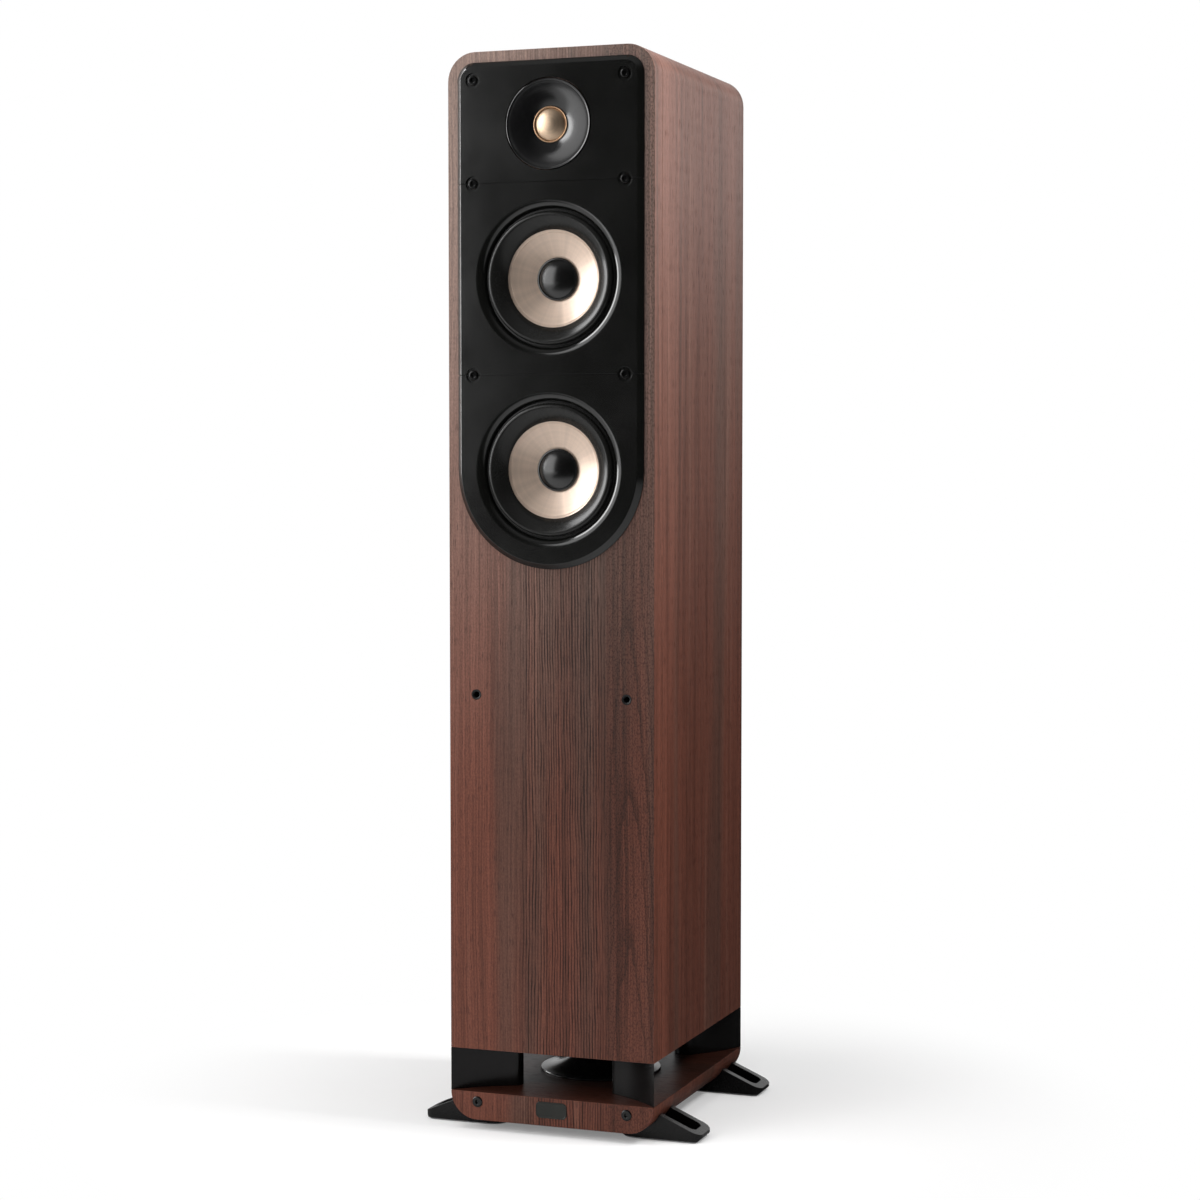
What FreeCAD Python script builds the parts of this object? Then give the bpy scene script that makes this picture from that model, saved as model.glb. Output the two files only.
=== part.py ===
import FreeCAD, Part
import math
import os

# A slim floorstanding two-way speaker on an outrigger base, in millimetres.
# +X is to the right seen from the front, the front faces -Y and the floor is Z = 0.

V = FreeCAD.Vector

# Cabinet
CABINET_WIDTH = 190.0
CABINET_DEPTH = 251.0
CABINET_HEIGHT = 870.0
CORNER_RADIUS = 25.0
WALL = 15.0
BAFFLE = 20.0
BRACE_THICKNESS = 12.0
BRACE_BORDER = 22.0

# Base under the cabinet
BASE_GAP = 38.0
PLATE_THICKNESS = 25.0
PLATE_RADIUS = 24.5
PLATE_CLEARANCE = 9.0         # underside of the plate above the floor
POST_OUTLINE = [(0.0, 0.0), ((21.0, 18.0), (50.0, 34.0)), ((50.0, 47.0), (31.0, 46.0)),
                ((13.0, 25.0), (0.0, 0.0))]   # plan of a post, inward from its corner
POST_BOLT_AT = (34.0, 35.0)

# Outrigger feet
FOOT_REACH = 35.0             # tip beyond the cabinet side
FOOT_WIDTH = 36.0
FOOT_FRONT_INSET = 20.0
FOOT_REAR_INSET = 15.0
FOOT_SHOULDER = 22.0          # height of the sloping top where it meets the plate
FOOT_TIP = 7.0                # height of the tip
FOOT_TIP_RADIUS = 9.0
FOOT_TOE = 3.0                # bevel under the tip
FOOT_RIM = 7.0
FOOT_FLOOR = 3.0
FOOT_BOSS_INSET = 24.0        # boss centre inside the cabinet side
PAD_THICKNESS = 1.5
PAD_INSET = 1.5

# Front trim
TRIM_MARGIN = 9.4             # wood left showing around the trim
TRIM_PROUD = 5.4
TRIM_CHAMFER = 4.8
TRIM_CORNER_RADIUS = 15.5
SEAM_GAP = 0.5
SCREW_X = 69.8
SCREW_DROPS = (25.1, 113.6, 278.3)
SCREW_CUP_RADIUS = 6.4
SCREW_CUP_DEPTH = 1.6
SOCKET_DROP = 556.3
SOCKET_RADIUS = 4.6
SOCKET_BORE = 2.5
SOCKET_DEPTH = 11.0

# Tweeter, all radii and depths behind the wood face
TWEETER_DROP = 64.6
WAVEGUIDE_RADIUS = 38.7
WAVEGUIDE_HUB = 33.5
WAVEGUIDE_BACK = 4.0
RING_RADIUS = 15.75
DOME_RADIUS = 13.6
DOME_EDGE = 1.4
DOME_RISE = 4.8
RING_FIT = 0.1                # dish throat around the ring
RING_CLEARANCE = 0.4
TWEETER_MAGNET_RADIUS = 31.0
TWEETER_MAGNET_THICKNESS = 9.0
TWEETER_PLATE = 3.0
CHAMBER_DEPTH = 36.0

# Woofers, all radii and depths behind the wood face
UPPER_WOOFER_DROP = 195.5
LOWER_WOOFER_DROP = 360.0
WOOFER_DROPS = {"upper": UPPER_WOOFER_DROP, "lower": LOWER_WOOFER_DROP}
FLARE_RADIUS = 67.0
THROAT_RADIUS = 59.6
FLANGE_RADIUS = 70.0
FLANGE_SEAT = 6.0
FLANGE_THICKNESS = 4.0
SURROUND_RADIUS = 59.2
SURROUND_CREST = 54.2
CONE_RADIUS = 43.2
CONE_EDGE = 7.6
CONE_NECK = 19.2
CONE_THICKNESS = 1.2
CONE_BOW = 0.9
CAP_RADIUS = 18.5
CAP_RIM = 2.0
CAP_RISE = 7.5
CAP_SEAT = 2.8                # foot of the dome in front of the cone's neck
COIL_RADIUS = 15.5
COIL_END = 49.0
SPIDER_SHELF = 29.0
BASKET_FLOOR = 36.0
BASKET_BACK = 38.5
MOTOR_PLATE = 6.0
MAGNET_THICKNESS = 16.0
MAGNET_RADIUS = 44.0
PLATE_RIM = 40.0
COIL_GAP = 0.7
WOOFER_SCREWS = 4
WOOFER_SCREW_CIRCLE = 65.0

# Port
PORT_RADIUS = 27.0
PORT_WALL = 2.5
PORT_LENGTH = 150.0
PORT_FLARE = 13.0
PORT_FLANGE = 44.0
PORT_FLANGE_THICKNESS = 3.0
CONE_DISC_RADIUS = 55.0
CONE_DISC_EDGE = 2.0
CONE_SWEEP = 47.0             # radius of the hollow sweep from the disc up to the tip

# Badge and base screws
BADGE_WIDTH = 28.6
BADGE_HEIGHT = 14.2
BADGE_RADIUS = 4.0
BADGE_DEPTH = 1.5
BADGE_PROUD = 0.4
BADGE_DROP = 10.7             # centre below the top of the plate
BASE_SCREW_DROP = 8.8

# Screws
HEAD_RADIUS = 4.0
HEAD_HEIGHT = 3.2
SHANK_RADIUS = 1.9
SOCKET_KEY = 1.7
BOLT_HEAD_RADIUS = 5.0
BOLT_HEAD_HEIGHT = 5.0
BOLT_RADIUS = 3.0

# Terminals on the back
TERMINAL_DROP = 130.0         # centre above the cabinet's underside
TERMINAL_WIDTH = 96.0
TERMINAL_HEIGHT = 72.0
TERMINAL_FLANGE = 2.5
TERMINAL_RIM = 9.0
TERMINAL_RECESS = 24.0
TERMINAL_WALL = 2.5
TERMINAL_RADIUS = 8.0
STUD_SPACING = 38.0
STUD_RADIUS = 3.0
STUD_LENGTH = 24.0
STUD_TAIL = 9.0
STUD_FLANGE = 6.0
STUD_FLANGE_THICKNESS = 2.5
PLUG_RADIUS = 2.0
PLUG_DEPTH = 17.0
WIRE_HOLE = 1.1
CLAMP_THICKNESS = 1.5
CLAMP_RADIUS = 6.5
CAP_OUTER = 7.8
CAP_LENGTH = 21.4
CAP_END_WALL = 1.5
CAP_END_HOLE = 2.6
CAP_FLUTES = 12
CAP_FLUTE_RADIUS = 1.0
SHAFT_CLEARANCE = 0.05
AXIAL_GAP = 0.3

# Crossover, wadding and wires
BOARD_WIDTH = 110.0
BOARD_HEIGHT = 120.0
BOARD_THICKNESS = 1.6
BOARD_STANDOFF = 6.0
BOARD_GAP = 24.0              # from the terminal cup up to the board
WADDING_THICKNESS = 18.0
WADDING_INSET = 32.0
WIRE_RADIUS = 1.6

FIT = 0.3                     # loose fit between pieces that are screwed or glued together

# Levels and planes that follow from the sizes above
PLATE_TOP = PLATE_CLEARANCE + PLATE_THICKNESS
CABINET_BOTTOM = PLATE_TOP + BASE_GAP
CABINET_TOP = CABINET_BOTTOM + CABINET_HEIGHT
FRONT = TRIM_PROUD - (TRIM_PROUD + CABINET_DEPTH + TERMINAL_FLANGE) / 2
BACK = FRONT + CABINET_DEPTH
MIDDLE = (FRONT + BACK) / 2
SIDE = CABINET_WIDTH / 2
INNER_SIDE = SIDE - WALL
INNER_BACK = BACK - WALL
INNER_FRONT = FRONT + BAFFLE
TERMINAL_Z = CABINET_BOTTOM + TERMINAL_DROP
TERMINAL_FLOOR = BACK - TERMINAL_RECESS
TWEETER_Z = CABINET_TOP - TWEETER_DROP
LOWER_Z = CABINET_TOP - LOWER_WOOFER_DROP
BOARD_Z = TERMINAL_Z + TERMINAL_HEIGHT / 2 + BOARD_GAP
BRACE_TOP = (BOARD_Z + BOARD_HEIGHT + LOWER_Z - FLANGE_RADIUS + BRACE_THICKNESS) / 2   # halfway from board to woofer
TRIM_HALF = SIDE - TRIM_MARGIN


def save(shapes, name):
    shape = shapes if isinstance(shapes, Part.Shape) else Part.makeCompound(shapes)
    shape.exportStep("parts/" + name + ".step")


def box(x0, x1, y0, y1, z0, z1):
    return Part.makeBox(x1 - x0, y1 - y0, z1 - z0, V(x0, y0, z0))


def rod_y(x, z, radius, y0, y1):
    return Part.makeCylinder(radius, y1 - y0, V(x, y0, z), V(0, 1, 0))


def rod_z(x, y, radius, z0, z1):
    return Part.makeCylinder(radius, z1 - z0, V(x, y, z0), V(0, 0, 1))


def outline_face(steps, place):
    """A face from a closed outline: a step is a point, or (point on the arc, end of the arc)."""
    first = place(*steps[0])
    here = first
    edges = []
    for step in steps[1:]:
        if isinstance(step[0], tuple):
            end = place(*step[1])
            edges.append(Part.Arc(here, place(*step[0]), end).toShape())
        else:
            end = place(*step)
            if (end - here).Length > 1e-6:
                edges.append(Part.makeLine(here, end))
        here = end
    if (here - first).Length > 1e-6:
        edges.append(Part.makeLine(here, first))
    return Part.Face(Part.Wire(edges))


def turned_y(steps, z, x=0.0):
    """Turns an outline of (radius, depth behind the wood face) about a driver's axis."""
    face = outline_face(steps, lambda r, depth: V(x + r, FRONT + depth, z))
    return face.revolve(V(x, 0, z), V(0, 1, 0), 360)


def turned_z(steps, base, y=MIDDLE):
    """Turns an outline of (radius, height above base) about the port's axis."""
    face = outline_face(steps, lambda r, height: V(r, y, base + height))
    return face.revolve(V(0, y, 0), V(0, 0, 1), 360)


def crown(radius, apex, rise):
    """The arc of a spherical cap, from its edge at a radius up to its apex on the axis."""
    curve = (radius * radius + rise * rise) / (2 * rise)
    half = math.asin(radius / curve) / 2
    return ((curve * math.sin(half), apex + curve * (1 - math.cos(half))), (0, apex))


def ring(inner, outer, low, high):
    return [(inner, low), (outer, low), (outer, high), (inner, high)]


def arch_face(half, bottom, top, radius, y):
    """An upright rectangle in the plane at y, with its two upper corners rounded."""
    knee = radius * (1 - math.cos(math.pi / 4))
    steps = [(-half, bottom), (-half, top - radius),
             ((-half + knee, top - knee), (-half + radius, top)), (half - radius, top),
             ((half - knee, top - knee), (half, top - radius)), (half, bottom)]
    return outline_face(steps, lambda x, z: V(x, y, z))


def rounded_plate(half_x, half_z, radius, x, z, y0, y1):
    """A plate in the XZ plane with four rounded corners."""
    plate = box(x - half_x, x + half_x, y0, y1, z - half_z, z + half_z)
    corners = [edge for edge in plate.Edges
               if abs(edge.Vertexes[0].Point.y - edge.Vertexes[1].Point.y) > (y1 - y0) / 2]
    return plate.makeFillet(radius, corners)


def socket_screw(head, height, shank, length, key):
    """A socket screw with its head's face at the origin, pointing down -Z."""
    screw = rod_z(0, 0, head, -height, 0).fuse(rod_z(0, 0, shank, -length, -height))
    steps = [(key * math.cos(math.radians(60 * i)), key * math.sin(math.radians(60 * i))) for i in range(6)]
    hexagon = outline_face(steps, lambda x, y: V(x, y, 0))
    screw = screw.cut(hexagon.extrude(V(0, 0, -0.6 * height)))
    rim = [edge for edge in screw.Edges if abs(edge.BoundBox.ZMax) < 1e-6 and edge.Length > 5 * head]
    return screw.makeFillet(0.12 * head, rim)


def aimed(shape, position, direction):
    """Turns a shape made along +Z to a direction and moves its origin to a position."""
    moved = shape.copy()
    moved.Placement = FreeCAD.Placement(position, FreeCAD.Rotation(V(0, 0, 1), direction))
    return moved


def cut_all(shape, tools):
    for tool in tools:
        shape = shape.cut(tool)
    return shape


def rounded_path(points):
    """Straight runs joined by the largest tangent arcs that their lengths allow."""
    edges = []
    here = points[0]
    for before, corner, after in zip(points, points[1:], points[2:]):
        entering = (corner - before).normalize()
        leaving = (after - corner).normalize()
        half_turn = entering.getAngle(leaving) / 2
        reach = 0.45 * min((corner - before).Length, (after - corner).Length)
        start = corner - entering * reach
        end = corner + leaving * reach
        inward = (leaving - entering).normalize()
        radius = reach / math.tan(half_turn)
        sagitta = radius / math.cos(half_turn) - radius
        edges.append(Part.makeLine(here, start))
        edges.append(Part.Arc(start, corner + inward * sagitta, end).toShape())
        here = end
    edges.append(Part.makeLine(here, points[-1]))
    return Part.Wire(edges)


def tube(points, radius):
    path = rounded_path(points)
    circle = Part.Wire(Part.makeCircle(radius, points[0], points[1] - points[0]))
    return path.makePipeShell([circle], True, False)


def trim_screw_places():
    return [(side * SCREW_X, CABINET_TOP - drop) for drop in SCREW_DROPS for side in (-1, 1)]


def socket_places():
    return [(side * SCREW_X, CABINET_TOP - SOCKET_DROP) for side in (-1, 1)]


def woofer_screw_places(z):
    angles = [math.radians(45 + 360 * i / WOOFER_SCREWS) for i in range(WOOFER_SCREWS)]
    return [(WOOFER_SCREW_CIRCLE * math.cos(a), z + WOOFER_SCREW_CIRCLE * math.sin(a)) for a in angles]


def corners():
    """The four base corners: name, sign inward along X, sign inward along Y."""
    return [("front_left", 1, 1), ("front_right", -1, 1), ("rear_left", 1, -1), ("rear_right", -1, -1)]


def corner_point(sx, sy, across, deep):
    edge = FRONT if sy > 0 else BACK
    return (-sx * SIDE + sx * across, edge + sy * deep)


# Cabinet panels

def front_baffle():
    panel = arch_face(SIDE, CABINET_BOTTOM, CABINET_TOP, CORNER_RADIUS, FRONT).extrude(V(0, BAFFLE, 0))
    tools = [rod_y(0, TWEETER_Z, WAVEGUIDE_HUB + FIT, FRONT - 1, INNER_FRONT + 1)]
    for drop in WOOFER_DROPS.values():
        z = CABINET_TOP - drop
        tools.append(rod_y(0, z, FLANGE_RADIUS + FIT, FRONT - 1, FRONT + FLANGE_SEAT))
        tools.append(rod_y(0, z, THROAT_RADIUS + FIT, FRONT, INNER_FRONT + 1))
        tools += [rod_y(x, h, SHANK_RADIUS, FRONT, FRONT + BAFFLE - 2) for x, h in woofer_screw_places(z)]
    tools += [rod_y(x, z, SHANK_RADIUS, FRONT - 1, FRONT + BAFFLE - 4) for x, z in trim_screw_places()]
    tools += [rod_y(x, z, SOCKET_RADIUS, FRONT - 1, FRONT + SOCKET_DEPTH) for x, z in socket_places()]
    return cut_all(panel, tools)


def side_panel(side):
    x0, x1 = sorted((side * SIDE, side * INNER_SIDE))
    return box(x0, x1, INNER_FRONT, BACK, CABINET_BOTTOM, CABINET_TOP - CORNER_RADIUS)


def top_panel():
    low = CABINET_TOP - CORNER_RADIUS
    outer = arch_face(SIDE, low, CABINET_TOP, CORNER_RADIUS, INNER_FRONT)
    inner = arch_face(INNER_SIDE, low - 1, CABINET_TOP - WALL, CORNER_RADIUS - WALL, INNER_FRONT - 1)
    depth = BACK - INNER_FRONT
    return outer.extrude(V(0, depth, 0)).cut(inner.extrude(V(0, depth + 2, 0)))


def rear_panel():
    panel = arch_face(INNER_SIDE, CABINET_BOTTOM, CABINET_TOP - WALL, CORNER_RADIUS - WALL, INNER_BACK)
    panel = panel.extrude(V(0, WALL, 0))
    half_x = TERMINAL_WIDTH / 2 - TERMINAL_RIM + TERMINAL_WALL + FIT
    half_z = TERMINAL_HEIGHT / 2 - TERMINAL_RIM + TERMINAL_WALL + FIT
    return panel.cut(box(-half_x, half_x, INNER_BACK - 1, BACK + 1, TERMINAL_Z - half_z, TERMINAL_Z + half_z))


def bottom_panel():
    panel = box(-INNER_SIDE, INNER_SIDE, INNER_FRONT, INNER_BACK, CABINET_BOTTOM, CABINET_BOTTOM + WALL)
    tools = [rod_z(0, MIDDLE, PORT_FLANGE + FIT, CABINET_BOTTOM - 1, CABINET_BOTTOM + PORT_FLANGE_THICKNESS),
             rod_z(0, MIDDLE, PORT_RADIUS + PORT_FLARE + PORT_WALL, CABINET_BOTTOM, CABINET_BOTTOM + WALL + 1)]
    for name, sx, sy in corners():
        x, y = corner_point(sx, sy, *POST_BOLT_AT)
        tools.append(rod_z(x, y, BOLT_RADIUS, CABINET_BOTTOM - 1, CABINET_BOTTOM + WALL - 3))
    return cut_all(panel, tools)


def brace():
    low = BRACE_TOP - BRACE_THICKNESS
    frame = box(-INNER_SIDE, INNER_SIDE, INNER_FRONT, INNER_BACK, low, BRACE_TOP)
    window = box(-INNER_SIDE + BRACE_BORDER, INNER_SIDE - BRACE_BORDER,
                 INNER_FRONT + BRACE_BORDER, INNER_BACK - BRACE_BORDER, low - 1, BRACE_TOP + 1)
    upright = [edge for edge in window.Edges
               if abs(edge.Vertexes[0].Point.z - edge.Vertexes[1].Point.z) > BRACE_THICKNESS / 2]
    return frame.cut(window.makeFillet(BRACE_BORDER / 2, upright))


# Front trim

def trim_body():
    top = CABINET_TOP - TRIM_MARGIN
    knee = TRIM_CORNER_RADIUS * (1 - math.cos(math.pi / 4))
    corner = TRIM_CORNER_RADIUS
    steps = [(-TRIM_HALF, LOWER_Z), (-TRIM_HALF, top - corner),
             ((-TRIM_HALF + knee, top - knee), (-TRIM_HALF + corner, top)), (TRIM_HALF - corner, top),
             ((TRIM_HALF - knee, top - knee), (TRIM_HALF, top - corner)), (TRIM_HALF, LOWER_Z),
             ((0, LOWER_Z - TRIM_HALF), (-TRIM_HALF, LOWER_Z))]
    face = outline_face(steps, lambda x, z: V(x, FRONT, z))
    body = face.extrude(V(0, -TRIM_PROUD, 0))
    rim = [edge for edge in body.Edges if edge.BoundBox.YMax < FRONT - TRIM_PROUD + 0.01]
    body = body.makeChamfer(TRIM_CHAMFER, rim)
    collar_back = FLANGE_SEAT - FLANGE_THICKNESS
    roll = FLARE_RADIUS - THROAT_RADIUS
    bend = roll * (1 - math.cos(math.pi / 4))
    for drop in WOOFER_DROPS.values():
        z = CABINET_TOP - drop
        body = body.fuse(turned_y(ring(THROAT_RADIUS, FLANGE_RADIUS, 0, collar_back), z))
        flare = [(0, -TRIM_PROUD - 1), (FLARE_RADIUS, -TRIM_PROUD - 1), (FLARE_RADIUS, -TRIM_PROUD),
                 ((THROAT_RADIUS + bend, bend - TRIM_PROUD), (THROAT_RADIUS, roll - TRIM_PROUD)),
                 (THROAT_RADIUS, collar_back + 1), (0, collar_back + 1)]
        body = body.cut(turned_y(flare, z))
    body = body.cut(rod_y(0, TWEETER_Z, WAVEGUIDE_RADIUS + FIT, FRONT - TRIM_PROUD - 1, FRONT + 1))
    face_y = FRONT - TRIM_PROUD
    tools = []
    for x, z in trim_screw_places():
        tools.append(rod_y(x, z, SCREW_CUP_RADIUS, face_y - 1, face_y + SCREW_CUP_DEPTH))
        tools.append(rod_y(x, z, HEAD_RADIUS + FIT, face_y - 1, face_y + SCREW_CUP_DEPTH + HEAD_HEIGHT / 2))
        tools.append(rod_y(x, z, SHANK_RADIUS + FIT, face_y, FRONT + 1))
    return cut_all(body, tools)


def trim_sections():
    body = trim_body()
    top = CABINET_TOP
    upper_seam = CABINET_TOP - SCREW_DROPS[1]
    lower_seam = CABINET_TOP - SCREW_DROPS[2]
    bottom = LOWER_Z - SIDE
    spans = {"trim_top": (upper_seam + SEAM_GAP / 2, top),
             "trim_middle": (lower_seam + SEAM_GAP / 2, upper_seam - SEAM_GAP / 2),
             "trim_bottom": (bottom, lower_seam - SEAM_GAP / 2)}
    reach = FLANGE_RADIUS
    return {name: body.common(box(-SIDE, SIDE, FRONT - reach, FRONT + reach, low, high))
            for name, (low, high) in spans.items()}


def trim_screws():
    screw = socket_screw(HEAD_RADIUS, HEAD_HEIGHT, SHANK_RADIUS, BAFFLE - 2, SOCKET_KEY)
    y = FRONT - TRIM_PROUD + SCREW_CUP_DEPTH - HEAD_HEIGHT / 2
    return [aimed(screw, V(x, y, z), V(0, -1, 0)) for x, z in trim_screw_places()]


def grille_sockets():
    sleeves = []
    for x, z in socket_places():
        sleeve = rod_y(x, z, SOCKET_RADIUS, FRONT, FRONT + SOCKET_DEPTH)
        sleeves.append(sleeve.cut(rod_y(x, z, SOCKET_BORE, FRONT - 1, FRONT + SOCKET_DEPTH - 1)))
    return sleeves


# Tweeter

def tweeter_waveguide():
    seat = DOME_EDGE
    steps = [(WAVEGUIDE_RADIUS, -TRIM_PROUD), (WAVEGUIDE_RADIUS, 0), (WAVEGUIDE_HUB, 0),
             (WAVEGUIDE_HUB, WAVEGUIDE_BACK), (RING_RADIUS + RING_FIT, WAVEGUIDE_BACK), (RING_RADIUS + RING_FIT, seat - 0.4),
             ((WAVEGUIDE_RADIUS * 0.66, seat - 3.2), (WAVEGUIDE_RADIUS - 1.2, -TRIM_PROUD + 0.5)),
             (WAVEGUIDE_RADIUS - 0.8, -TRIM_PROUD)]
    return turned_y(steps, TWEETER_Z)


def tweeter_ring():
    inner = DOME_RADIUS + RING_CLEARANCE
    crown = (inner + RING_RADIUS) / 2
    steps = [(inner, WAVEGUIDE_BACK), (inner, DOME_EDGE), ((crown, DOME_EDGE - 1.1), (RING_RADIUS, DOME_EDGE)),
             (RING_RADIUS, WAVEGUIDE_BACK)]
    return turned_y(steps, TWEETER_Z)


def tweeter_dome():
    skin = 0.5
    apex = DOME_EDGE - DOME_RISE
    coil_end = WAVEGUIDE_BACK + TWEETER_PLATE + 1.5
    coil = DOME_RADIUS - 0.3
    outer = [(0, DOME_EDGE), (DOME_RADIUS, DOME_EDGE), crown(DOME_RADIUS, apex, DOME_RISE)]
    inner = [(0, DOME_EDGE + 1), (coil - skin, DOME_EDGE + 1), (coil - skin, DOME_EDGE),
             crown(coil - skin, apex + skin, DOME_RISE - skin)]
    dome = turned_y(outer, TWEETER_Z).fuse(turned_y(ring(coil - skin, coil, DOME_EDGE - 0.4, coil_end), TWEETER_Z))
    return dome.cut(turned_y(inner, TWEETER_Z))


def tweeter_motor():
    front = WAVEGUIDE_BACK
    magnet = front + TWEETER_PLATE
    back = magnet + TWEETER_MAGNET_THICKNESS
    bore = DOME_RADIUS + RING_CLEARANCE
    pole = DOME_RADIUS - 1.3
    top_plate = turned_y(ring(bore, TWEETER_MAGNET_RADIUS - 2, front, magnet), TWEETER_Z)
    magnet_ring = turned_y(ring(bore + 3, TWEETER_MAGNET_RADIUS, magnet, back), TWEETER_Z)
    yoke = [(0, front + 0.5), (pole, front + 0.5), (pole, back), (TWEETER_MAGNET_RADIUS - 2, back),
            (TWEETER_MAGNET_RADIUS - 2, back + TWEETER_PLATE), (0, back + TWEETER_PLATE)]
    return [top_plate, magnet_ring, turned_y(yoke, TWEETER_Z)]


def tweeter_chamber():
    inner = TWEETER_MAGNET_RADIUS
    outer = inner + 2
    end = WAVEGUIDE_BACK + CHAMBER_DEPTH
    steps = [(inner, WAVEGUIDE_BACK), (outer, WAVEGUIDE_BACK), (outer, end), (0, end), (0, end - 2), (inner, end - 2)]
    return turned_y(steps, TWEETER_Z)


# Woofers

def woofer_basket(z):
    flange_front = FLANGE_SEAT - FLANGE_THICKNESS
    mouth = SURROUND_RADIUS - 3.7
    shell = mouth + 2.5
    steps = [(mouth, flange_front), (FLANGE_RADIUS, flange_front), (FLANGE_RADIUS, FLANGE_SEAT),
             (shell, FLANGE_SEAT), (MAGNET_RADIUS + 0.5, SPIDER_SHELF + 2.5), (MAGNET_RADIUS + 0.5, BASKET_BACK),
             (COIL_RADIUS + 2.5, BASKET_BACK), (COIL_RADIUS + 2.5, BASKET_FLOOR),
             (MAGNET_RADIUS - 2, BASKET_FLOOR), (MAGNET_RADIUS - 2, SPIDER_SHELF + 2),
             (MAGNET_RADIUS - 6, SPIDER_SHELF + 2), (MAGNET_RADIUS - 6, SPIDER_SHELF),
             (MAGNET_RADIUS, SPIDER_SHELF), (mouth, FLANGE_SEAT)]
    basket = turned_y(steps, z)
    window = box(-11, 11, FRONT + FLANGE_SEAT + 3, FRONT + SPIDER_SHELF - 1.5, MAGNET_RADIUS - 1, FLANGE_RADIUS)
    window.translate(V(0, 0, z))
    windows = [window.copy().rotate(V(0, 0, z), V(0, 1, 0), 60 * i) for i in range(6)]
    screws = [rod_y(x, h, SHANK_RADIUS + FIT, FRONT, FRONT + BAFFLE) for x, h in woofer_screw_places(z)]
    sinks = []
    for x, h in woofer_screw_places(z):
        sink = Part.makeCone(SHANK_RADIUS + 2, SHANK_RADIUS, 2.2, V(x, FRONT + flange_front, h), V(0, 1, 0))
        sinks.append(sink)
    return cut_all(basket, windows + screws + sinks)


def woofer_surround(z):
    lip = FLANGE_SEAT - FLANGE_THICKNESS
    skin = 1.0
    crest = -TRIM_PROUD + 2.0
    outer = SURROUND_RADIUS - 1.6
    shoulder = (outer + SURROUND_CREST) / 2 + 0.8
    slope = (SURROUND_CREST + CONE_RADIUS) / 2
    slope_depth = (crest + CONE_EDGE) / 2 - 1.6
    steps = [(SURROUND_RADIUS, lip), (SURROUND_RADIUS, lip - skin), (outer, lip - skin),
             ((shoulder, crest + 1.0), (SURROUND_CREST, crest)),
             ((slope, slope_depth), (CONE_RADIUS - 1.2, CONE_EDGE - skin)), (CONE_RADIUS - 1.2, CONE_EDGE),
             (CONE_RADIUS, CONE_EDGE),
             ((slope + 0.6, slope_depth + skin), (SURROUND_CREST, crest + skin)),
             ((shoulder - skin, crest + skin + 1.0), (outer - skin, lip))]
    return turned_y(steps, z)


def cone_hollow():
    """A point half way down the cone's face, a little below the straight line."""
    return ((CONE_RADIUS + COIL_RADIUS) / 2, (CONE_EDGE + CONE_NECK) / 2 + CONE_BOW)


def woofer_cone(z):
    neck = COIL_RADIUS
    middle, hollow = cone_hollow()
    steps = [(CONE_RADIUS, CONE_EDGE), ((middle, hollow), (neck, CONE_NECK)), (neck, CONE_NECK + CONE_THICKNESS),
             ((middle, hollow + CONE_THICKNESS), (CONE_RADIUS, CONE_EDGE + CONE_THICKNESS))]
    return turned_y(steps, z)


def woofer_dust_cap(z):
    """A domed cap with a raised rim, whose foot ends on the cone's hollow face."""
    rim = CAP_RADIUS - CAP_RIM
    apex = CONE_NECK - CAP_RISE
    foot = CONE_NECK - CAP_SEAT
    outer = [(0, CONE_NECK), (CAP_RADIUS, CONE_NECK), (CAP_RADIUS, foot), (rim + 0.5, foot - 0.6), (rim, foot),
             crown(rim, apex, foot - apex)]
    inner = [(0, CONE_NECK + 1), (rim, CONE_NECK + 1), (rim, foot + 1),
             crown(rim, apex + 1, foot - apex)]
    behind = [(COIL_RADIUS, CONE_NECK), (COIL_RADIUS, CONE_NECK + 2), (CONE_RADIUS, CONE_NECK + 2),
              (CONE_RADIUS, CONE_EDGE), (cone_hollow(), (COIL_RADIUS, CONE_NECK))]
    return cut_all(turned_y(outer, z), [turned_y(inner, z), turned_y(behind, z)])


def woofer_voice_coil(z):
    wall = 0.6
    winding = COIL_RADIUS + 0.6
    low = COIL_END - 10
    steps = [(COIL_RADIUS - wall, CONE_NECK + CONE_THICKNESS), (COIL_RADIUS, CONE_NECK + CONE_THICKNESS),
             (COIL_RADIUS, low), (winding, low), (winding, COIL_END), (COIL_RADIUS - wall, COIL_END)]
    return turned_y(steps, z)


def woofer_spider(z):
    skin = 0.8
    waves = 5
    start = COIL_RADIUS
    end = MAGNET_RADIUS - 2
    pitch = (end - start) / (2 * waves)
    front = [(start + pitch * i, SPIDER_SHELF - skin - (1.6 if i % 2 else 0)) for i in range(2 * waves + 1)]
    rear = [(r, depth + skin) for r, depth in reversed(front)]
    return turned_y(front + rear, z)


def woofer_magnet(z):
    start = BASKET_BACK + MOTOR_PLATE
    return turned_y(ring(COIL_RADIUS + 6, MAGNET_RADIUS, start, start + MAGNET_THICKNESS), z)


def woofer_yoke(z):
    plate_back = BASKET_BACK + MOTOR_PLATE
    magnet_back = plate_back + MAGNET_THICKNESS
    front_plate = turned_y(ring(COIL_RADIUS + 0.6 + COIL_GAP, PLATE_RIM, BASKET_BACK, plate_back), z)
    pole = COIL_RADIUS - 0.6 - COIL_GAP
    vent = 5.0
    steps = [(vent, BASKET_BACK), (pole, BASKET_BACK), (pole, magnet_back), (PLATE_RIM, magnet_back),
             (PLATE_RIM, magnet_back + MOTOR_PLATE), (vent, magnet_back + MOTOR_PLATE)]
    return [front_plate, turned_y(steps, z)]


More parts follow.
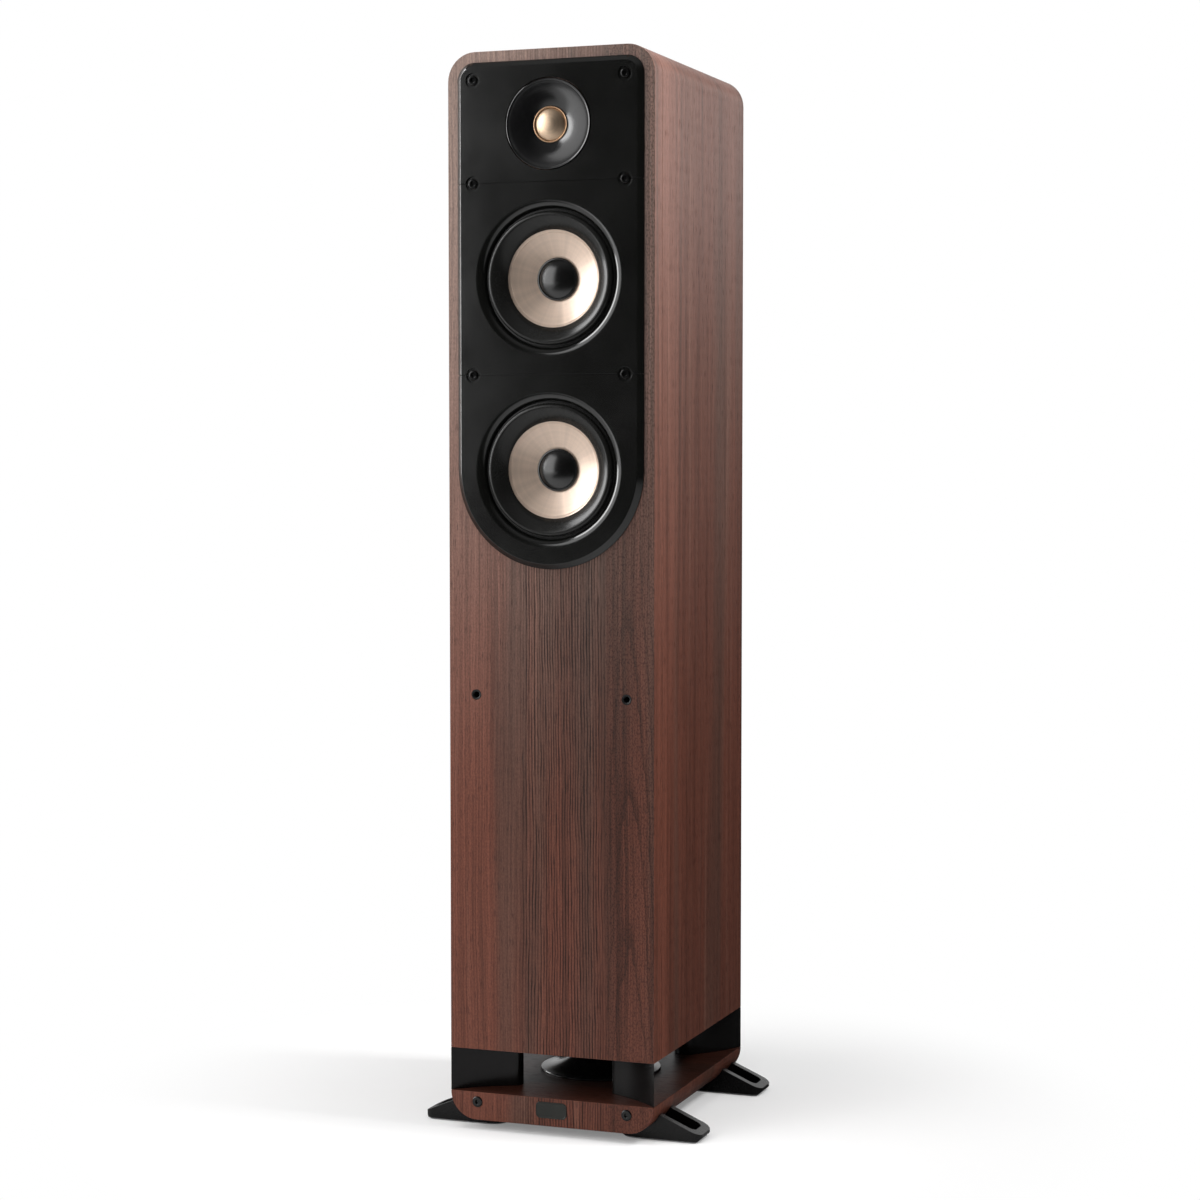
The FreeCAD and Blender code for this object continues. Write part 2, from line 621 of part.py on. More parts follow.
def woofer_screws():
    depth = FLANGE_SEAT - FLANGE_THICKNESS
    screws = []
    for drop in WOOFER_DROPS.values():
        for x, z in woofer_screw_places(CABINET_TOP - drop):
            head = Part.makeCone(SHANK_RADIUS + 2, SHANK_RADIUS, 2.2, V(x, FRONT + depth, z), V(0, 1, 0))
            screws.append(head.fuse(rod_y(x, z, SHANK_RADIUS, FRONT + depth + 2.2, FRONT + BAFFLE - 2)))
    return screws


# Port

def port_tube():
    bend = PORT_FLARE * (1 - math.cos(math.pi / 4))
    outer = PORT_RADIUS + PORT_WALL
    flare = PORT_RADIUS + PORT_FLARE
    steps = [(flare, 0), (PORT_FLANGE, 0), (PORT_FLANGE, PORT_FLANGE_THICKNESS),
             (flare + PORT_WALL - FIT, PORT_FLANGE_THICKNESS), (outer, PORT_FLARE + PORT_WALL), (outer, PORT_LENGTH),
             (PORT_RADIUS, PORT_LENGTH), (PORT_RADIUS, PORT_FLARE), ((PORT_RADIUS + bend, bend), (flare, 0))]
    return turned_z(steps, CABINET_BOTTOM)


def port_cone():
    diagonal = math.cos(math.pi / 4)
    bend = CONE_SWEEP * (1 - diagonal)
    waist = CONE_DISC_RADIUS - CONE_SWEEP
    lift = CONE_DISC_EDGE + CONE_SWEEP
    steps = [(0, 0), (CONE_DISC_RADIUS, 0), (CONE_DISC_RADIUS, CONE_DISC_EDGE),
             ((waist + bend, CONE_DISC_EDGE + bend), (waist, lift)),
             ((waist * diagonal, lift + waist * diagonal), (0, lift + waist))]
    return turned_z(steps, PLATE_TOP)


# Base

def base_plate():
    knee = PLATE_RADIUS * (1 - math.cos(math.pi / 4))
    low = PLATE_CLEARANCE
    steps = [(-SIDE, PLATE_TOP), (-SIDE, low + PLATE_RADIUS), ((-SIDE + knee, low + knee), (-SIDE + PLATE_RADIUS, low)),
             (SIDE - PLATE_RADIUS, low), ((SIDE - knee, low + knee), (SIDE, low + PLATE_RADIUS)), (SIDE, PLATE_TOP)]
    plate = outline_face(steps, lambda x, z: V(x, FRONT, z)).extrude(V(0, CABINET_DEPTH, 0))
    badge_z = PLATE_TOP - BADGE_DROP
    tools = [rounded_plate(BADGE_WIDTH / 2, BADGE_HEIGHT / 2, BADGE_RADIUS, 0, badge_z, FRONT - 1, FRONT + BADGE_DEPTH)]
    z = PLATE_TOP - BASE_SCREW_DROP
    for side in (-1, 1):
        tools.append(rod_y(side * SCREW_X, z, HEAD_RADIUS + 0.8, FRONT - 1, FRONT + HEAD_HEIGHT - 1))
        tools.append(rod_y(side * SCREW_X, z, SHANK_RADIUS, FRONT, FRONT + BAFFLE - 2))
    for name, sx, sy in corners():
        x, y = corner_point(sx, sy, *POST_BOLT_AT)
        tools.append(rod_z(x, y, BOLT_RADIUS + FIT, low - 1, PLATE_TOP + 1))
        tools.append(rod_z(x, y, BOLT_HEAD_RADIUS + FIT, low - 1, low + BOLT_HEAD_HEIGHT + FIT))
        x, y = foot_bolt_point(sx, sy)
        tools.append(rod_z(x, y, BOLT_RADIUS, low - 1, PLATE_TOP - 4))
    return cut_all(plate, tools)


def base_screws():
    screw = socket_screw(HEAD_RADIUS + 0.8, HEAD_HEIGHT, SHANK_RADIUS, BAFFLE - 2, SOCKET_KEY + 0.3)
    z = PLATE_TOP - BASE_SCREW_DROP
    return [aimed(screw, V(side * SCREW_X, FRONT - 1, z), V(0, -1, 0)) for side in (-1, 1)]


def base_badge():
    z = PLATE_TOP - BADGE_DROP
    return rounded_plate(BADGE_WIDTH / 2, BADGE_HEIGHT / 2, BADGE_RADIUS, 0, z, FRONT - BADGE_PROUD, FRONT + BADGE_DEPTH)


def post(sx, sy):
    def place(across, deep):
        x, y = corner_point(sx, sy, across, deep)
        return V(x, y, PLATE_TOP)
    body = outline_face(POST_OUTLINE, place).extrude(V(0, 0, BASE_GAP))
    x, y = corner_point(sx, sy, *POST_BOLT_AT)
    return body.cut(rod_z(x, y, BOLT_RADIUS + FIT, PLATE_TOP - 1, CABINET_BOTTOM + 1))


def foot_edge(sy):
    """The foot's outer edge along Y and the direction from it towards the middle."""
    return FRONT + FOOT_FRONT_INSET if sy > 0 else BACK - FOOT_REAR_INSET


def foot_bolt_point(sx, sy):
    return (-sx * (SIDE - FOOT_BOSS_INSET), foot_edge(sy) + sy * FOOT_WIDTH / 2)


def foot_plan(sx, sy, inset, z):
    """The foot seen from above: a round boss under the plate and a rounded tip outside it."""
    boss = SIDE - FOOT_BOSS_INSET
    half = FOOT_WIDTH / 2 - inset
    tip = SIDE + FOOT_REACH - inset
    radius = FOOT_TIP_RADIUS - inset
    knee = radius * (1 - math.cos(math.pi / 4))
    steps = [(boss, -half), (tip - radius, -half), ((tip - knee, -half + knee), (tip, -half + radius)),
             (tip, half - radius), ((tip - knee, half - knee), (tip - radius, half)), (boss, half),
             ((boss - half, 0), (boss, -half))]
    x, y = foot_bolt_point(sx, sy)
    return outline_face(steps, lambda a, b: V(-sx * a, y + b, z))


def foot(sx, sy):
    tip = SIDE + FOOT_REACH
    x, y = foot_bolt_point(sx, sy)
    body = foot_plan(sx, sy, 0, PAD_THICKNESS).extrude(V(0, 0, FOOT_SHOULDER))
    slope = (FOOT_SHOULDER - FOOT_TIP) / FOOT_REACH
    inner = SIDE - FOOT_BOSS_INSET - FOOT_WIDTH
    steps = [(inner, PAD_THICKNESS), (tip - FOOT_TOE, PAD_THICKNESS), (tip, PAD_THICKNESS + FOOT_TOE), (tip, FOOT_TIP),
             (inner, FOOT_TIP + slope * (tip - inner))]
    side_view = outline_face(steps, lambda a, h: V(-sx * a, y - FOOT_WIDTH, h)).extrude(V(0, 2 * FOOT_WIDTH, 0))
    body = body.common(side_view)
    hollow = PLATE_RADIUS + FIT
    axis_x = SIDE - PLATE_RADIUS
    axis_z = PLATE_CLEARANCE + PLATE_RADIUS
    knee = hollow * math.cos(math.pi / 4)
    steps = [(inner, PLATE_CLEARANCE), (axis_x - 4, PLATE_CLEARANCE), (axis_x, axis_z - hollow),
             ((axis_x + knee, axis_z - knee), (axis_x + hollow, axis_z)), (axis_x + hollow, PLATE_TOP + FOOT_SHOULDER),
             (inner, PLATE_TOP + FOOT_SHOULDER)]
    under = outline_face(steps, lambda a, h: V(-sx * a, y - FOOT_WIDTH, h)).extrude(V(0, 2 * FOOT_WIDTH, 0))
    body = body.cut(under)
    half = FOOT_WIDTH / 2 - FOOT_RIM
    x0, x1 = sorted((-sx * (SIDE - FOOT_RIM), -sx * (tip - FOOT_RIM)))
    slot = box(x0, x1, y - half, y + half, PAD_THICKNESS + FOOT_FLOOR, PLATE_TOP)
    upright = [edge for edge in slot.Edges
               if abs(edge.Vertexes[0].Point.z - edge.Vertexes[1].Point.z) > FOOT_FLOOR]
    body = body.cut(slot.makeFillet(half / 2, upright))
    body = body.cut(rod_z(x, y, BOLT_RADIUS + FIT, 0, PLATE_TOP))
    return body.cut(rod_z(x, y, BOLT_HEAD_RADIUS + FIT, 0, PLATE_CLEARANCE - 2.5))


def foot_pads():
    pads = []
    for name, sx, sy in corners():
        x, y = foot_bolt_point(sx, sy)
        pad = foot_plan(sx, sy, PAD_INSET, 0).extrude(V(0, 0, PAD_THICKNESS))
        x0, x1 = sorted((-sx * SIDE, -sx * (SIDE + FOOT_REACH - FOOT_TOE - PAD_INSET)))
        x2, x3 = sorted((0, -sx * SIDE))
        outer = box(x0, x1, y - FOOT_WIDTH, y + FOOT_WIDTH, -1, PAD_THICKNESS + 1)
        inner = box(x2, x3, y - FOOT_WIDTH, y + FOOT_WIDTH, -1, PAD_THICKNESS + 1)
        pad = pad.common(outer.fuse(inner).removeSplitter())
        pads.append(pad.cut(rod_z(x, y, BOLT_HEAD_RADIUS + FIT, -1, PAD_THICKNESS + 1)))
    return pads


def base_bolts():
    post_bolt = socket_screw(BOLT_HEAD_RADIUS, BOLT_HEAD_HEIGHT, BOLT_RADIUS,
                             PLATE_THICKNESS + BASE_GAP + WALL - 5, SOCKET_KEY + 1)
    foot_bolt = socket_screw(BOLT_HEAD_RADIUS, BOLT_HEAD_HEIGHT, BOLT_RADIUS,
                             PLATE_THICKNESS - 4, SOCKET_KEY + 1)
    down = V(0, 0, -1)
    bolts = []
    for name, sx, sy in corners():
        x, y = corner_point(sx, sy, *POST_BOLT_AT)
        bolts.append(aimed(post_bolt, V(x, y, PLATE_CLEARANCE + FIT), down))
        x, y = foot_bolt_point(sx, sy)
        bolts.append(aimed(foot_bolt, V(x, y, PLATE_CLEARANCE - 2.5 - BOLT_HEAD_HEIGHT), down))
    return bolts


# Terminals

def terminal_cup():
    half_x = TERMINAL_WIDTH / 2
    half_z = TERMINAL_HEIGHT / 2
    rim = TERMINAL_RIM
    wall = TERMINAL_WALL
    flange = rounded_plate(half_x, half_z, TERMINAL_RADIUS, 0, TERMINAL_Z, BACK, BACK + TERMINAL_FLANGE)
    tub = box(-half_x + rim - wall, half_x - rim + wall, TERMINAL_FLOOR - wall, BACK,
              TERMINAL_Z - half_z + rim - wall, TERMINAL_Z + half_z - rim + wall)
    hollow = rounded_plate(half_x - rim, half_z - rim, TERMINAL_RADIUS / 2, 0, TERMINAL_Z,
                           TERMINAL_FLOOR, BACK + TERMINAL_FLANGE + 1)
    cup = flange.fuse(tub).removeSplitter().cut(hollow)
    for side in (-1, 1):
        cup = cup.cut(rod_y(side * STUD_SPACING / 2, TERMINAL_Z, STUD_RADIUS, TERMINAL_FLOOR - wall - 1, BACK))
    return cup


def terminal_studs():
    studs = []
    for side in (-1, 1):
        x = side * STUD_SPACING / 2
        floor = TERMINAL_FLOOR
        end = floor + STUD_LENGTH
        stud = rod_y(x, TERMINAL_Z, STUD_RADIUS, floor - TERMINAL_WALL - STUD_TAIL, end)
        stud = stud.fuse(rod_y(x, TERMINAL_Z, STUD_FLANGE, floor, floor + STUD_FLANGE_THICKNESS))
        stud = stud.cut(rod_y(x, TERMINAL_Z, PLUG_RADIUS, end - PLUG_DEPTH, end + 1))
        hole_y = floor + STUD_FLANGE_THICKNESS + 2 * AXIAL_GAP + CLAMP_THICKNESS
        studs.append(stud.cut(Part.makeCylinder(WIRE_HOLE, 20, V(x, hole_y, TERMINAL_Z - 10), V(0, 0, 1))))
    return studs


def clamp_ring(side):
    x = side * STUD_SPACING / 2
    y0 = TERMINAL_FLOOR + STUD_FLANGE_THICKNESS + AXIAL_GAP
    clamp = rod_y(x, TERMINAL_Z, CLAMP_RADIUS, y0, y0 + CLAMP_THICKNESS)
    return clamp.cut(rod_y(x, TERMINAL_Z, STUD_RADIUS + AXIAL_GAP, y0 - 1, y0 + CLAMP_THICKNESS + 1))


def terminal_cap(side):
    x = side * STUD_SPACING / 2
    y0 = TERMINAL_FLOOR + STUD_FLANGE_THICKNESS + 2 * AXIAL_GAP + CLAMP_THICKNESS
    y1 = y0 + CAP_LENGTH
    cap = rod_y(x, TERMINAL_Z, CAP_OUTER, y0, y1)
    rim = [edge for edge in cap.Edges if edge.BoundBox.YMin > y1 - 0.01]
    cap = cap.makeFillet(1.2, rim)
    cap = cap.cut(rod_y(x, TERMINAL_Z, STUD_RADIUS + SHAFT_CLEARANCE, y0 - 1, y1 - CAP_END_WALL))
    cap = cap.cut(rod_y(x, TERMINAL_Z, CAP_END_HOLE, y0, y1 + 1))
    for i in range(CAP_FLUTES):
        angle = 2 * math.pi * i / CAP_FLUTES
        flute_x = x + (CAP_OUTER + 0.3) * math.cos(angle)
        flute_z = TERMINAL_Z + (CAP_OUTER + 0.3) * math.sin(angle)
        cap = cap.cut(rod_y(flute_x, flute_z, CAP_FLUTE_RADIUS, y0 + 3, y1 + 1))
    return cap


# Crossover, wadding and wires

BOARD_FACE = INNER_BACK - BOARD_STANDOFF - BOARD_THICKNESS


def crossover_board():
    half = BOARD_WIDTH / 2
    board = box(-half, half, BOARD_FACE, BOARD_FACE + BOARD_THICKNESS, BOARD_Z, BOARD_Z + BOARD_HEIGHT)
    for x in (-half + 6, half - 6):
        for z in (BOARD_Z + 6, BOARD_Z + BOARD_HEIGHT - 6):
            board = board.fuse(rod_y(x, z, 3.5, BOARD_FACE + BOARD_THICKNESS, INNER_BACK))
    return board.removeSplitter()


def crossover_parts():
    half = BOARD_WIDTH / 2
    parts = []
    for x, z, radius in ((-half + 24, 92, 17), (half - 24, 92, 17), (-half + 24, 30, 20)):
        coil = rod_y(x, BOARD_Z + z, radius, BOARD_FACE - 16, BOARD_FACE)
        parts.append(coil.cut(rod_y(x, BOARD_Z + z, radius / 3, BOARD_FACE - 17, BOARD_FACE + 1)))
    for row in range(3):
        z = BOARD_Z + 16 + 18 * row
        parts.append(Part.makeCylinder(7, 40, V(half - 52, BOARD_FACE - 7, z), V(1, 0, 0)))
    for x in (-6, 6):
        parts.append(box(x - 4, x + 4, BOARD_FACE - 9, BOARD_FACE, BOARD_Z + 68, BOARD_Z + 112))
    return parts


def wadding():
    low = BRACE_TOP
    high = CABINET_TOP - CORNER_RADIUS
    sheets = []
    for side in (-1, 1):
        x0, x1 = sorted((side * INNER_SIDE, side * (INNER_SIDE - WADDING_THICKNESS)))
        sheets.append(box(x0, x1, INNER_FRONT + WADDING_INSET, INNER_BACK - WADDING_INSET, low, high))
    return sheets


def wiring():
    """Leads from the terminals to the board, and from the board to the back of each driver."""
    board_top = BOARD_Z + BOARD_HEIGHT - 5
    window_y = INNER_BACK - BRACE_BORDER - 10
    woofer_back = FRONT + BASKET_BACK + 2 * MOTOR_PLATE + MAGNET_THICKNESS
    tweeter_back = FRONT + WAVEGUIDE_BACK + CHAMBER_DEPTH
    leads = []
    for x, z, back in ((-26, LOWER_Z, woofer_back), (0, CABINET_TOP - UPPER_WOOFER_DROP, woofer_back),
                       (26, TWEETER_Z, tweeter_back)):
        points = [V(x, BOARD_FACE, board_top), V(x, window_y, board_top), V(x, window_y, z - 30),
                  V(x, (window_y + back) / 2, z), V(x, back, z)]
        leads.append(tube(points, WIRE_RADIUS))
    tail = TERMINAL_FLOOR - TERMINAL_WALL - STUD_TAIL
    for side in (-1, 1):
        x = side * STUD_SPACING / 2
        points = [V(x, tail, TERMINAL_Z), V(x, tail - 18, TERMINAL_Z), V(x, tail - 18, BOARD_Z - 14),
                  V(x, BOARD_FACE - 12, BOARD_Z + 6), V(x, BOARD_FACE, BOARD_Z + 6)]
        leads.append(tube(points, WIRE_RADIUS))
    return leads


os.makedirs("parts", exist_ok=True)

save(front_baffle(), "front_baffle")
save(side_panel(-1), "side_panel_left")
save(side_panel(1), "side_panel_right")
save(top_panel(), "top_panel")
save(rear_panel(), "rear_panel")
save(bottom_panel(), "bottom_panel")
save(brace(), "brace")
for name, section in trim_sections().items():
    save(section, name)
save(trim_screws(), "trim_screws")
save(grille_sockets(), "grille_sockets")
save(tweeter_waveguide(), "tweeter_waveguide")
save(tweeter_ring(), "tweeter_ring")
save(tweeter_dome(), "tweeter_dome")
save(tweeter_motor(), "tweeter_motor")
save(tweeter_chamber(), "tweeter_chamber")
for place, drop in WOOFER_DROPS.items():
    height = CABINET_TOP - drop
    prefix = "woofer_" + place + "_"
    save(woofer_basket(height), prefix + "basket")
    save(woofer_surround(height), prefix + "surround")
    save(woofer_cone(height), prefix + "cone")
    save(woofer_dust_cap(height), prefix + "dust_cap")
    save(woofer_voice_coil(height), prefix + "voice_coil")
    save(woofer_spider(height), prefix + "spider")
    save(woofer_magnet(height), prefix + "magnet")
    save(woofer_yoke(height), prefix + "yoke")
save(woofer_screws(), "woofer_screws")
save(port_tube(), "port_tube")
save(port_cone(), "port_cone")
save(base_plate(), "base_plate")
save(base_screws(), "base_screws")
save(base_badge(), "base_badge")
save(base_bolts(), "base_bolts")
for name, sx, sy in corners():
    save(post(sx, sy), "post_" + name)
    save(foot(sx, sy), "foot_" + name)
save(foot_pads(), "foot_pads")
save(terminal_cup(), "terminal_cup")
save(terminal_studs(), "terminal_studs")
for colour, side in (("red", -1), ("black", 1)):
    save(clamp_ring(side), "clamp_ring_" + colour)
    save(terminal_cap(side), "terminal_cap_" + colour)
save(crossover_board(), "crossover_board")
save(crossover_parts(), "crossover_parts")
save(wadding(), "wadding")
save(wiring(), "wiring")
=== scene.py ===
import cmath
import math
import bpy
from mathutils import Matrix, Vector


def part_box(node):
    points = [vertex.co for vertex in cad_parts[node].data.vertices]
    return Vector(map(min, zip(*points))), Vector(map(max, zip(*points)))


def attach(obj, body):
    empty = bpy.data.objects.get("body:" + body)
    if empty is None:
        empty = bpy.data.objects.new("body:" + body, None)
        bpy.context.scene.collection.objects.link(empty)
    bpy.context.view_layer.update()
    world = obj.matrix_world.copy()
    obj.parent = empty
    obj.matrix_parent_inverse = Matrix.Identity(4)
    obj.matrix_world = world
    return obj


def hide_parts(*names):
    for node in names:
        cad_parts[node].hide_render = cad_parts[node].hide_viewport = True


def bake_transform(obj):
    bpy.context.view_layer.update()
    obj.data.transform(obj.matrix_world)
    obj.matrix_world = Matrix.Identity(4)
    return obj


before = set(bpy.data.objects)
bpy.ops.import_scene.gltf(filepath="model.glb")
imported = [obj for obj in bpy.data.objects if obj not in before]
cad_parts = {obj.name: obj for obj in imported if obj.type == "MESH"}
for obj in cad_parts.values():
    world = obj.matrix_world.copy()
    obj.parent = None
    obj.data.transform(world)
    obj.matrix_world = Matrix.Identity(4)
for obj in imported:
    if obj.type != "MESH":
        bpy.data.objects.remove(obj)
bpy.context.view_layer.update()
mm = 0.001
past = 0.01    # how far a cutter reaches past what it cuts

# main planes, all read from the frame
boardLow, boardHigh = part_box("front_baffle")
plateLow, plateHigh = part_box("base_plate")
rearLow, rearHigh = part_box("rear_panel")
face = boardLow.y
back = rearHigh.y
middle = (face + back) / 2
sideX = boardHigh.x
cabinetTop = boardHigh.z


def centreOf(node):
    low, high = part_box(node)
    return (low + high) / 2


tweeterZ = centreOf("tweeter_ring").z
wooferZ = {"upper": centreOf("woofer_upper_cone").z, "lower": centreOf("woofer_lower_cone").z}


# modelling helpers

def clearSelection():
    if bpy.context.object and bpy.context.object.mode != "OBJECT":
        bpy.ops.object.mode_set(mode="OBJECT")
    bpy.ops.object.select_all(action="DESELECT")


def makeActive(piece):
    clearSelection()
    piece.select_set(True)
    bpy.context.view_layer.objects.active = piece


def rename(piece, name):
    piece.name = name
    piece.data.name = name
    return piece


def editAll(piece):
    makeActive(piece)
    bpy.ops.object.mode_set(mode="EDIT")
    bpy.ops.mesh.select_mode(type="VERT")
    bpy.ops.mesh.select_all(action="SELECT")


def leaveEdit():
    bpy.ops.object.mode_set(mode="OBJECT")


def pickFaces(piece, test):
    # leaves the piece in edit mode with only the faces that pass
    editAll(piece)
    bpy.ops.mesh.select_mode(type="FACE")
    bpy.ops.mesh.select_all(action="DESELECT")
    leaveEdit()
    for polygon in piece.data.polygons:
        polygon.select = test(polygon)
    bpy.ops.object.mode_set(mode="EDIT")


def extrude(move):
    bpy.ops.mesh.extrude_region_move(TRANSFORM_OT_translate={"value": move})


def settle(piece):
    makeActive(piece)
    bpy.ops.object.transform_apply(location=True, rotation=True, scale=True)
    return piece


def drawOutline(name, points, closed=True):
    # one vertex, drawn out point by point; a closed outline is filled
    clearSelection()
    bpy.ops.mesh.primitive_plane_add(size=0.001, location=points[0])
    piece = rename(bpy.context.object, name)
    editAll(piece)
    bpy.ops.mesh.merge(type="CENTER")
    here = Vector(points[0])
    for point in points[1:] + (points[:1] if closed else []):
        extrude(Vector(point) - here)
        here = Vector(point)
    bpy.ops.mesh.select_all(action="SELECT")
    if closed:
        bpy.ops.mesh.remove_doubles(threshold=0.000002)
        bpy.ops.mesh.edge_face_add()
    leaveEdit()
    return settle(piece)


def faceOutwards(piece):
    editAll(piece)
    bpy.ops.mesh.remove_doubles(threshold=0.000002)
    bpy.ops.mesh.normals_make_consistent(inside=False)
    leaveEdit()
    return piece


def pushOutline(name, points, push):
    piece = drawOutline(name, points)
    editAll(piece)
    extrude(push)
    leaveEdit()
    return faceOutwards(piece)


def smooth(piece, angle=35):
    makeActive(piece)
    bpy.ops.mesh.customdata_custom_splitnormals_clear()
    bpy.ops.object.shade_smooth_by_angle(angle=math.radians(angle))
    return piece


def turnProfile(name, profile, centre, axis=(0, 1, 0), steps=96, closed=True):
    # profile points are (radius, distance along the axis) in millimetres
    centre, axis = Vector(centre), Vector(axis)
    points = [centre + Vector((radius * mm, 0, 0)) + axis * (along * mm) for radius, along in profile]
    if closed:
        points.append(points[0])
    piece = drawOutline(name, points, closed=False)
    editAll(piece)
    bpy.ops.mesh.spin(steps=steps, angle=2 * math.pi, center=centre, axis=axis)
    leaveEdit()
    return smooth(faceOutwards(piece))


def applyModifier(piece, kind, **settings):
    makeActive(piece)
    modifier = piece.modifiers.new(kind.lower(), kind)
    for key, value in settings.items():
        setattr(modifier, key, value)
    bpy.ops.object.modifier_apply(modifier=modifier.name)
    return piece


def flatten(piece, angle=40):
    # smooth shading that keeps large faces flat beside their rounded edges
    return applyModifier(smooth(piece, angle), "WEIGHTED_NORMAL", keep_sharp=True, weight=100)


def softenEdges(piece, width, segments=2, angle=30):
    applyModifier(piece, "BEVEL", width=width * mm, segments=segments, limit_method="ANGLE",
                  angle_limit=math.radians(angle), use_clamp_overlap=True, miter_outer="MITER_ARC")
    return flatten(piece)


def carve(piece, *cutters, operation="DIFFERENCE"):
    for cutter in cutters:
        applyModifier(piece, "BOOLEAN", object=cutter, operation=operation, solver="EXACT",
                      use_hole_tolerant=True)
        bpy.data.objects.remove(cutter)
    return piece


def arcThrough(start, via, end, count=12):
    # points along the circle through three points, worked out with complex numbers
    a, b, c = complex(*start), complex(*via), complex(*end)
    side = (c - a) / (b - a)
    centre = a + (b - a) * (side - abs(side) ** 2) / (2j * side.imag)
    sweep = cmath.phase((c - centre) / (a - centre)) % (2 * math.pi)
    if side.imag < 0:
        sweep -= 2 * math.pi
    points = [centre + (a - centre) * cmath.exp(1j * sweep * i / count) for i in range(count + 1)]
    return [(point.real, point.imag) for point in points]


def cornerArc(cx, cy, radius, fromDegrees, toDegrees, count=10):
    angles = [math.radians(fromDegrees + (toDegrees - fromDegrees) * i / count) for i in range(count + 1)]
    return [(cx + radius * math.cos(a), cy + radius * math.sin(a)) for a in angles]


def domeBow(radius, rise, apex, count=16):
    # profile of a shallow dome from its middle out to its rim
    curve = (radius * radius + rise * rise) / (2 * rise)
    reach = math.asin(radius / curve)
    angles = [reach * i / count for i in range(count + 1)]
    return [(curve * math.sin(a), apex + curve * (1 - math.cos(a))) for a in angles]


def archOutline(half, low, top, radius):
    left = cornerArc(-half + radius, top - radius, radius, 180, 90)
    right = cornerArc(half - radius, top - radius, radius, 90, 0)
    return [(-half, low)] + left + right + [(half, low)]


def roundedRectangle(halfX, halfZ, radius, count=8):
    points = []
    for signX, signZ, start in ((1, 1, 0), (-1, 1, 90), (-1, -1, 180), (1, -1, 270)):
        x, z = signX * (halfX - radius), signZ * (halfZ - radius)
        points += cornerArc(x, z, radius, start, start + 90, count)
    return points


def roundedEnd(end, half, radius):
    low = cornerArc(end - radius, -half + radius, radius, 270, 360, 8)
    return low + cornerArc(end - radius, half - radius, radius, 0, 90, 8)


def upright(points, y):
    return [Vector((x, y, z)) for x, z in points]


def level(points, y, z):
    # a plan in millimetres, laid at height z about the line y
    return [Vector((x * mm, y + along * mm, z)) for x, along in points]


def rod(radius, length, place, turn=(0, 0, 0), sides=48):
    clearSelection()
    bpy.ops.mesh.primitive_cylinder_add(vertices=sides, radius=radius, depth=length,
                                        location=place, rotation=turn)
    return settle(bpy.context.object)


def drillY(x, z, radius, y0, y1, sides=64):
    return rod(radius, y1 - y0, (x, (y0 + y1) / 2, z), (math.pi / 2, 0, 0), sides)


def drillZ(x, y, radius, z0, z1):
    return rod(radius, z1 - z0, (x, y, (z0 + z1) / 2))


def block(x0, x1, y0, y1, z0, z1):
    clearSelection()
    bpy.ops.mesh.primitive_cube_add(size=1, location=((x0 + x1) / 2, (y0 + y1) / 2, (z0 + z1) / 2),
                                    scale=(abs(x1 - x0), abs(y1 - y0), abs(z1 - z0)))
    return settle(bpy.context.object)


def copyPiece(piece, name, move=(0, 0, 0), mirror=(1, 1, 1)):
    twin = piece.copy()
    twin.data = piece.data.copy()
    rename(twin, name)
    bpy.context.scene.collection.objects.link(twin)
    twin.location = move
    twin.scale = mirror
    settle(twin)
    if mirror[0] * mirror[1] * mirror[2] < 0:
        flatten(faceOutwards(twin))
    return twin


def joinPieces(pieces, name):
    makeActive(pieces[0])
    for piece in pieces[1:]:
        piece.select_set(True)
    bpy.ops.object.join()
    return rename(bpy.context.object, name)


def wear(piece, finish):
    piece.data.materials.clear()
    piece.data.materials.append(bpy.data.materials[finish])


def finishPiece(piece, slot, finish, *nodes, body="cabinet"):
    wear(piece, finish)
    if body:
        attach(piece, body)
    if nodes:
        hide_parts(*nodes)
    return piece


# material helpers

class Wire:
    # a node's output; sums written with wires become Math nodes
    def __init__(self, socket):
        self.socket = socket
        self.tree = socket.id_data

    def __add__(self, other):
        return maths("ADD", self, other)

    def __sub__(self, other):
        return maths("SUBTRACT", self, other)

    def __rsub__(self, other):
        return maths("SUBTRACT", other, self)

    def __mul__(self, other):
        return maths("MULTIPLY", self, other)


def plug(wire, socket):
    wire.tree.links.new(wire.socket, socket)


def addNode(tree, kind, inputs=None, **settings):
    node = tree.nodes.new(kind)
    for key, value in settings.items():
        setattr(node, key, value)
    for key, value in (inputs or {}).items():
        if isinstance(value, Wire):
            plug(value, node.inputs[key])
        else:
            node.inputs[key].default_value = value
    return node


def maths(operation, *values):
    tree = next(value.tree for value in values if isinstance(value, Wire))
    return Wire(addNode(tree, "ShaderNodeMath", dict(enumerate(values)), operation=operation).outputs[0])


def noise(vector, scale=1.0, detail=2.0, roughness=0.5):
    inputs = {"Vector": vector, "Scale": scale, "Detail": detail, "Roughness": roughness}
    return Wire(addNode(vector.tree, "ShaderNodeTexNoise", inputs).outputs["Fac"])


def stepBetween(value, low, high, first=0.0, last=1.0):
    inputs = {"Value": value, "From Min": low, "From Max": high, "To Min": first, "To Max": last}
    node = addNode(value.tree, "ShaderNodeMapRange", inputs, interpolation_type="SMOOTHSTEP")
    return Wire(node.outputs["Result"])


def choose(switch, whenOff, whenOn):
    node = addNode(switch.tree, "ShaderNodeMix", {0: switch, 2: whenOff, 3: whenOn}, data_type="FLOAT")
    return Wire(node.outputs[0])


def mixColors(factor, first, second, blend="MIX"):
    if isinstance(second, tuple):
        second = (*second, 1)
    node = addNode(first.tree, "ShaderNodeMix", {0: factor, 6: first, 7: second},
                   data_type="RGBA", blend_type=blend)
    return Wire(node.outputs[2])


